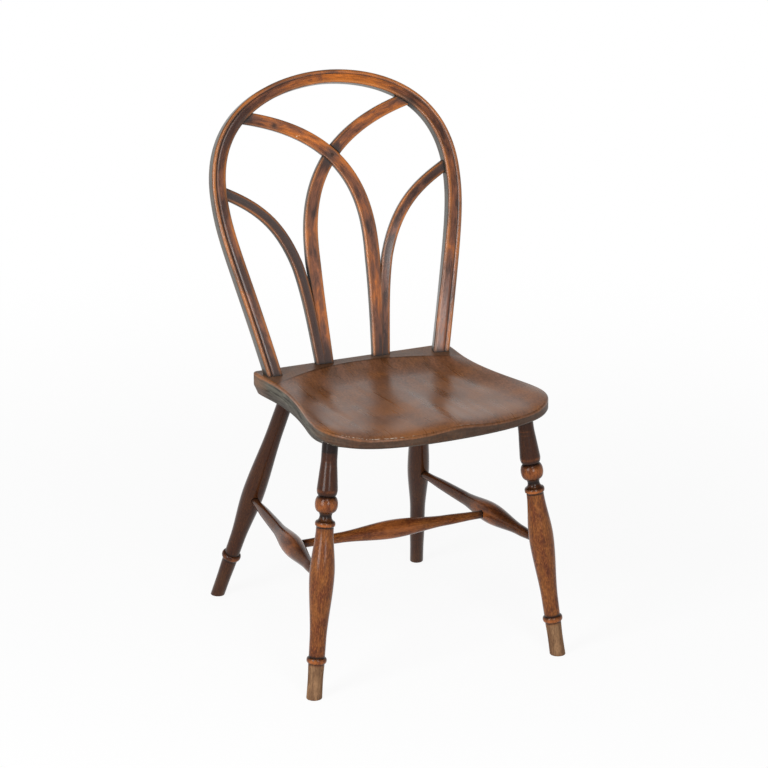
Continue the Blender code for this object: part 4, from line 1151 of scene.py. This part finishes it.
def leg_axis(end, sign):
    """Foot and top of a leg's axis, on the floor and at the seat's underside."""
    (x, y), splay = LEGS[end]
    top = np.array((sign * x, y, UNDERSIDE))
    return top + np.array((sign * splay[0], splay[1], -1)) * UNDERSIDE, top


def leg_wear(end, h):
    """Wear down a leg by height: rubbed rings, grimy coves, a dark top partly a painted shadow, a bare front
    foot.
    """
    crest = bands(h, RUBBED_BANDS[end])
    darkening = bands(h, GRIMY_BANDS[end])
    if end == "front":
        # front legs: a black collar just under the seat, dirt and partly a painted shadow of the seat
        darkening += 0.95 * rise(h, UNDERSIDE - 0.006, UNDERSIDE - 0.003)
        deep = 0.86 * rise(h, 0.314, 0.334) + 0.6 * hump(h, 0.298, 0.012)
        bare = 1 - rise(h, 0.050, 0.060)
    else:
        # rear legs: a deep stain, deeper towards the seat, partly a painted shade under the seat
        deep = 0.82 + 0.12 * rise(h, 0.25, 0.40)
        bare = 0.12 * (1 - rise(h, 0.0, 0.07))
    # every leg darkens just below the seat: dirt, and partly a painted shadow of the seat
    darkening = 0.95 * np.maximum(darkening, hump(h, UNDERSIDE + 0.007, 0.012))
    return np.clip(np.stack((crest, darkening, deep, bare), axis=-1), 0, 1)


def make_leg(end, side):
    """A turned leg: rows down to the ankle, then rows that end level on the floor with a rounded rim."""
    low, high = leg_axis(end, SIDES[side])
    own_axes = axes(low, high)
    stretch = 1 / own_axes[0][2]
    h, diameter = LEG_CURVES[end]
    ankle = 0.052 if end == "front" else 0.069
    upper = h[h > ankle][::-1]
    rim = 0.0010
    foot = np.interp(0.0, h, diameter) / 2
    spoke = turned(0.0, foot, np.zeros(3), own_axes)[..., 2]
    lower = ankle + (rim - spoke - ankle) * np.linspace(0, 1, FOOT_ROWS)[1:, None]
    rows = np.vstack((np.broadcast_to(upper[:, None], (len(upper), ROUND_STEPS)), lower))
    grid = turned(rows * stretch, np.interp(rows, h, diameter) / 2, low, own_axes)
    bottom = np.stack([low + (grid[-1] - low) * (inset, inset, 0) for inset in (0.965, 0.90)])
    bottom[..., 2] = np.array((0.0002, 0.0))[:, None]
    grid = np.vstack((grid, bottom))
    wear = leg_wear(end, np.vstack((rows, np.zeros((2, ROUND_STEPS)))))
    offset = np.array((0.31, 0.17, 0.23)) * (1 + SIDES[side] * 0.5 + (end == "rear") * 1.7)
    shells = [turned_shell(grid, low, own_axes, wear, offset)]
    piece(f"turned_{end}_leg_{side}", shells, "beech", f"{end}_leg_{side}")


def stretcher_points():
    """Where the stretchers' axes meet: on the legs, and along the side stretchers."""
    points = {}
    for side, sign in SIDES.items():
        for end, height in STRETCHER_HEIGHT.items():
            low, high = leg_axis(end, sign)
            points[end, side] = low + (high - low) * height / UNDERSIDE
        run = points["front", side] - points["rear", side]
        points["cross", side] = points["rear", side] + run * SIDE_SWELL_SHARE
    return points


def stretcher_curve(marks, length):
    """Places and diameters along a stretcher, eased between its swell and the nearest mark of each end."""
    far, swell, near = (np.array(part) * (length, 1) for part in marks)
    return smooth((far[:-1], eased(far[-1], swell), eased(swell, near[0]), near))


def outside(points, low, high, h, diameter, stretch):
    """How far points lie outside a turned piece."""
    along = (high - low) / np.linalg.norm(high - low)
    place = (points - low) @ along
    away = np.linalg.norm(points - low - place[..., None] * along, axis=-1)
    return away - np.interp(place / stretch, h, diameter) / 2


def make_stretcher(name, low, high, marks, hosts, deep, offset):
    """A turned stretcher whose ends are scribed to its hosts. Its swell is rubbed, and its ends are grimy."""
    own_axes = axes(low, high)
    length = np.linalg.norm(high - low)
    h, diameter = stretcher_curve(marks, length)
    cuts = []
    outward = np.linspace(SCRIBE_REACH, 0, SCRIBE_STEPS)
    for s, host in zip((outward, length - outward), hosts):
        points = turned(s[:, None], np.interp(s, h, diameter)[:, None] / 2, low, own_axes)
        cuts.append(crossing(outside(points, *host) - GAP, s))
    start, end = cuts
    rows = start + (end - start) * np.linspace(0, 1, STRETCHER_ROWS)[:, None]
    thick = np.interp(rows, h, diameter)
    grid = turned(rows, thick / 2, low, own_axes)
    rubbed = 0.7 * rise(thick / diameter.max(), 0.7, 1.0)
    darkening = np.exp(-np.minimum(rows - start, end - rows) / STRETCHER_GRIME)
    wear = np.stack((rubbed, darkening, np.full_like(rows, deep), np.zeros_like(rows)), axis=-1)
    shells = [turned_shell(grid, low, own_axes, wear, np.array(offset))]
    piece(f"turned_{name}", shells, "beech", name)


def make_stretchers():
    """Side stretchers between the legs, and a cross stretcher between their swells."""
    points = stretcher_points()
    swells = []
    for side, sign in SIDES.items():
        hosts = []
        for end in ("rear", "front"):
            low, high = leg_axis(end, sign)
            hosts.append((low, high, *LEG_CURVES[end], np.linalg.norm(high - low) / UNDERSIDE))
        low, high = points["rear", side], points["front", side]
        offset = (0.7, 0.4 + sign * 0.2, 0.9)
        make_stretcher(f"side_stretcher_{side}", low, high, SIDE_MARKS, hosts, 0.60, offset)
        swells.append((low, high, *stretcher_curve(SIDE_MARKS, np.linalg.norm(high - low)), 1.0))
    low, high = points["cross", "left"], points["cross", "right"]
    make_stretcher("cross_stretcher", low, high, CROSS_MARKS, swells, 0.0, (0.2, 0.9, 0.5))


# Pegs


def button(centre, out, radius):
    """A peg's end: a low dome that stands on a face."""
    out = out / np.linalg.norm(out)
    side = np.cross(out, (1.0, 0.0, 0.0) if abs(out[0]) < 0.8 else (0.0, 1.0, 0.0))
    side /= np.linalg.norm(side)
    up = np.cross(out, side)
    turn = np.linspace(0, 2 * math.pi, 32, endpoint=False)[:, None]
    spoke = np.cos(turn) * side + np.sin(turn) * up
    profile = np.array(((1.0, 0.00003), (1.0, 0.00016), (0.9, 0.00026), (0.65, 0.00034), (0.3, 0.00038)))
    grid = centre + radius * profile[:, 0, None, None] * spoke + profile[:, 1, None, None] * out
    points, faces = surface(grid)
    return points, faces, {}


def peg_place(name, arc):
    """The flat (x, w) of a peg's middle, and the way out of the face there."""
    low, high = (np.array(corner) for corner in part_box(name))
    x, w, _ = unbend((low + high) / 2, arc)
    return x, w, bend(x, w, 0.01, arc) - bend(x, w, 0.0, arc)


def make_pegs():
    """The crossing's peg, seen on both faces, and the pegs in the back of the bow."""
    x, w, out = peg_place("crossing_peg", LONG_ARC)
    front = bend(x, w, -0.05 * ARCH_BEAD, LONG_ARC)
    back = bend(x, w, -ARCH_DEPTH, LONG_ARC)
    shells = [button(front, out, CROSSING_PEG), button(back, -out, CROSSING_PEG)]
    piece("crossing_peg_ends", shells, "oak", "crossing_peg")
    for side in SIDES:
        for kind in ("long", "short"):
            name = f"{kind}_arch_{side}_peg"
            x, w, out = peg_place(name, BOW_ARC)
            near = np.hypot(BOW_LINE.x - x, BOW_LINE.w - w).argmin()
            back = bend(x, w, -BOW_DEPTH * BOW_LINE.slim[near], BOW_ARC)
            piece(name + "_end", [button(back, -out, BOW_PEG)], "oak", name)


make_bow()
for side in SIDES:
    make_long_arch(side)
    make_short_arch(side)
make_seat()
for end in LEGS:
    for side in SIDES:
        make_leg(end, side)
make_stretchers()
make_pegs()
for side in SIDES:
    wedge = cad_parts[f"bow_wedge_{side}"]
    wedge.data.materials.clear()
    wedge.data.materials.append(WOODS["oak"])

# Stage, light and camera


def make_stage():
    """A white sweep: a floor that looks white and keeps a faint shadow, and a surround, white low down.

    The surround is dimmer above: from about 20 degrees up in front, and from about 40 degrees up behind.
    """
    mesh = bpy.data.meshes.new("floor")
    mesh.from_pydata([(-12, -12, 0), (12, -12, 0), (12, 12, 0), (-12, 12, 0)], [], [(0, 1, 2, 3)])
    floor = bpy.data.objects.new("floor", mesh)
    bpy.context.scene.collection.objects.link(floor)
    values = {"Base Color": linear("#f2f2f2"), "Roughness": 0.9, "Specular IOR Level": 0.0}
    material, tree, shader = new_material("white_floor", values)
    glow = node(tree, "ShaderNodeEmission", {"Color": linear("#ffffff"), "Strength": 1.0})
    seen = node(tree, "ShaderNodeLightPath", {}, "Is Camera Ray")
    rays = seen.node.outputs
    for ray in ("Is Glossy Ray", "Is Transmission Ray"):
        seen = node(tree, MATH, {0: seen, 1: rays[ray]}, operation="MAXIMUM")
    place = node(tree, "ShaderNodeTexCoord", {}, 3)
    far = node(tree, SCALE, {0: place}, 1, operation="LENGTH")
    white = node(tree, RANGE, {0: far, 1: 0.4, 2: 2.2, 3: 0.90, 4: 1.0}, interpolation_type="SMOOTHSTEP")
    seen = node(tree, MATH, {0: seen, 1: white}, operation="MULTIPLY")
    mixed = node(tree, "ShaderNodeMixShader", {0: seen, 1: shader.outputs[0], 2: glow})
    tree.links.new(mixed, tree.nodes["Material Output"].inputs["Surface"])
    mesh.materials.append(material)

    world = bpy.context.scene.world or bpy.data.worlds.new("studio")
    bpy.context.scene.world = world
    world.use_nodes = True
    tree = world.node_tree
    way = node(tree, "ShaderNodeTexCoord", {}, 0)
    _, behind, above = node(tree, "ShaderNodeSeparateXYZ", {0: way}).node.outputs
    white_to = node(tree, RANGE, {0: behind, 1: -0.4, 2: 0.5, 3: 0.34, 4: 0.70})
    white_from = node(tree, MATH, {0: white_to, 1: 0.5}, operation="MULTIPLY")
    dimming = {0: above, 1: white_from, 2: white_to, 3: 1.0, 4: 0.22}
    strength = node(tree, RANGE, dimming, interpolation_type="SMOOTHSTEP")
    tree.nodes["Background"].inputs["Color"].default_value = linear("#ffffff")
    tree.links.new(strength, tree.nodes["Background"].inputs["Strength"])


def lamp(name, place, target, width, height, power):
    """A soft box."""
    light = bpy.data.lights.new(name, "AREA")
    light.shape = "RECTANGLE"
    light.size = width
    light.size_y = height
    light.energy = power
    made = bpy.data.objects.new(name, light)
    made.location = place
    made.rotation_mode = "QUATERNION"
    made.rotation_quaternion = (Vector(target) - Vector(place)).to_track_quat("-Z", "Y")
    bpy.context.scene.collection.objects.link(made)


def make_camera(target, distance, azimuth, elevation):
    """A long lens that looks at a target from a distance, by angles in degrees from the chair's front."""
    azimuth = math.radians(azimuth)
    elevation = math.radians(elevation)
    level = math.cos(elevation)
    toward = Vector((math.sin(azimuth) * level, -math.cos(azimuth) * level, math.sin(elevation)))
    camera = bpy.data.objects.new("camera", bpy.data.cameras.new("camera"))
    camera.data.lens = 187.5
    camera.data.sensor_width = 36
    camera.data.clip_end = 60
    camera.location = Vector(target) + toward * distance
    camera.rotation_mode = "QUATERNION"
    camera.rotation_quaternion = (-toward).to_track_quat("-Z", "Y")
    bpy.context.scene.collection.objects.link(camera)
    bpy.context.scene.camera = camera


make_stage()
lamp("soft_box_left", (-2.7, -1.3, 1.5), (0, 0, 0.5), 1.2, 2.4, 78)
lamp("front_soft_box", (-0.29, -3.0, 1.1), (0, 0, 0.6), 0.9, 1.3, 30)
lamp("high_soft_box", (-0.6, -2.4, 3.0), (0, 0, 0.5), 1.4, 1.4, 30)
make_camera((0.015, 0.0175, 0.422), 6.543, -24.81, 18.85)
bpy.context.scene.view_settings.view_transform = "Standard"
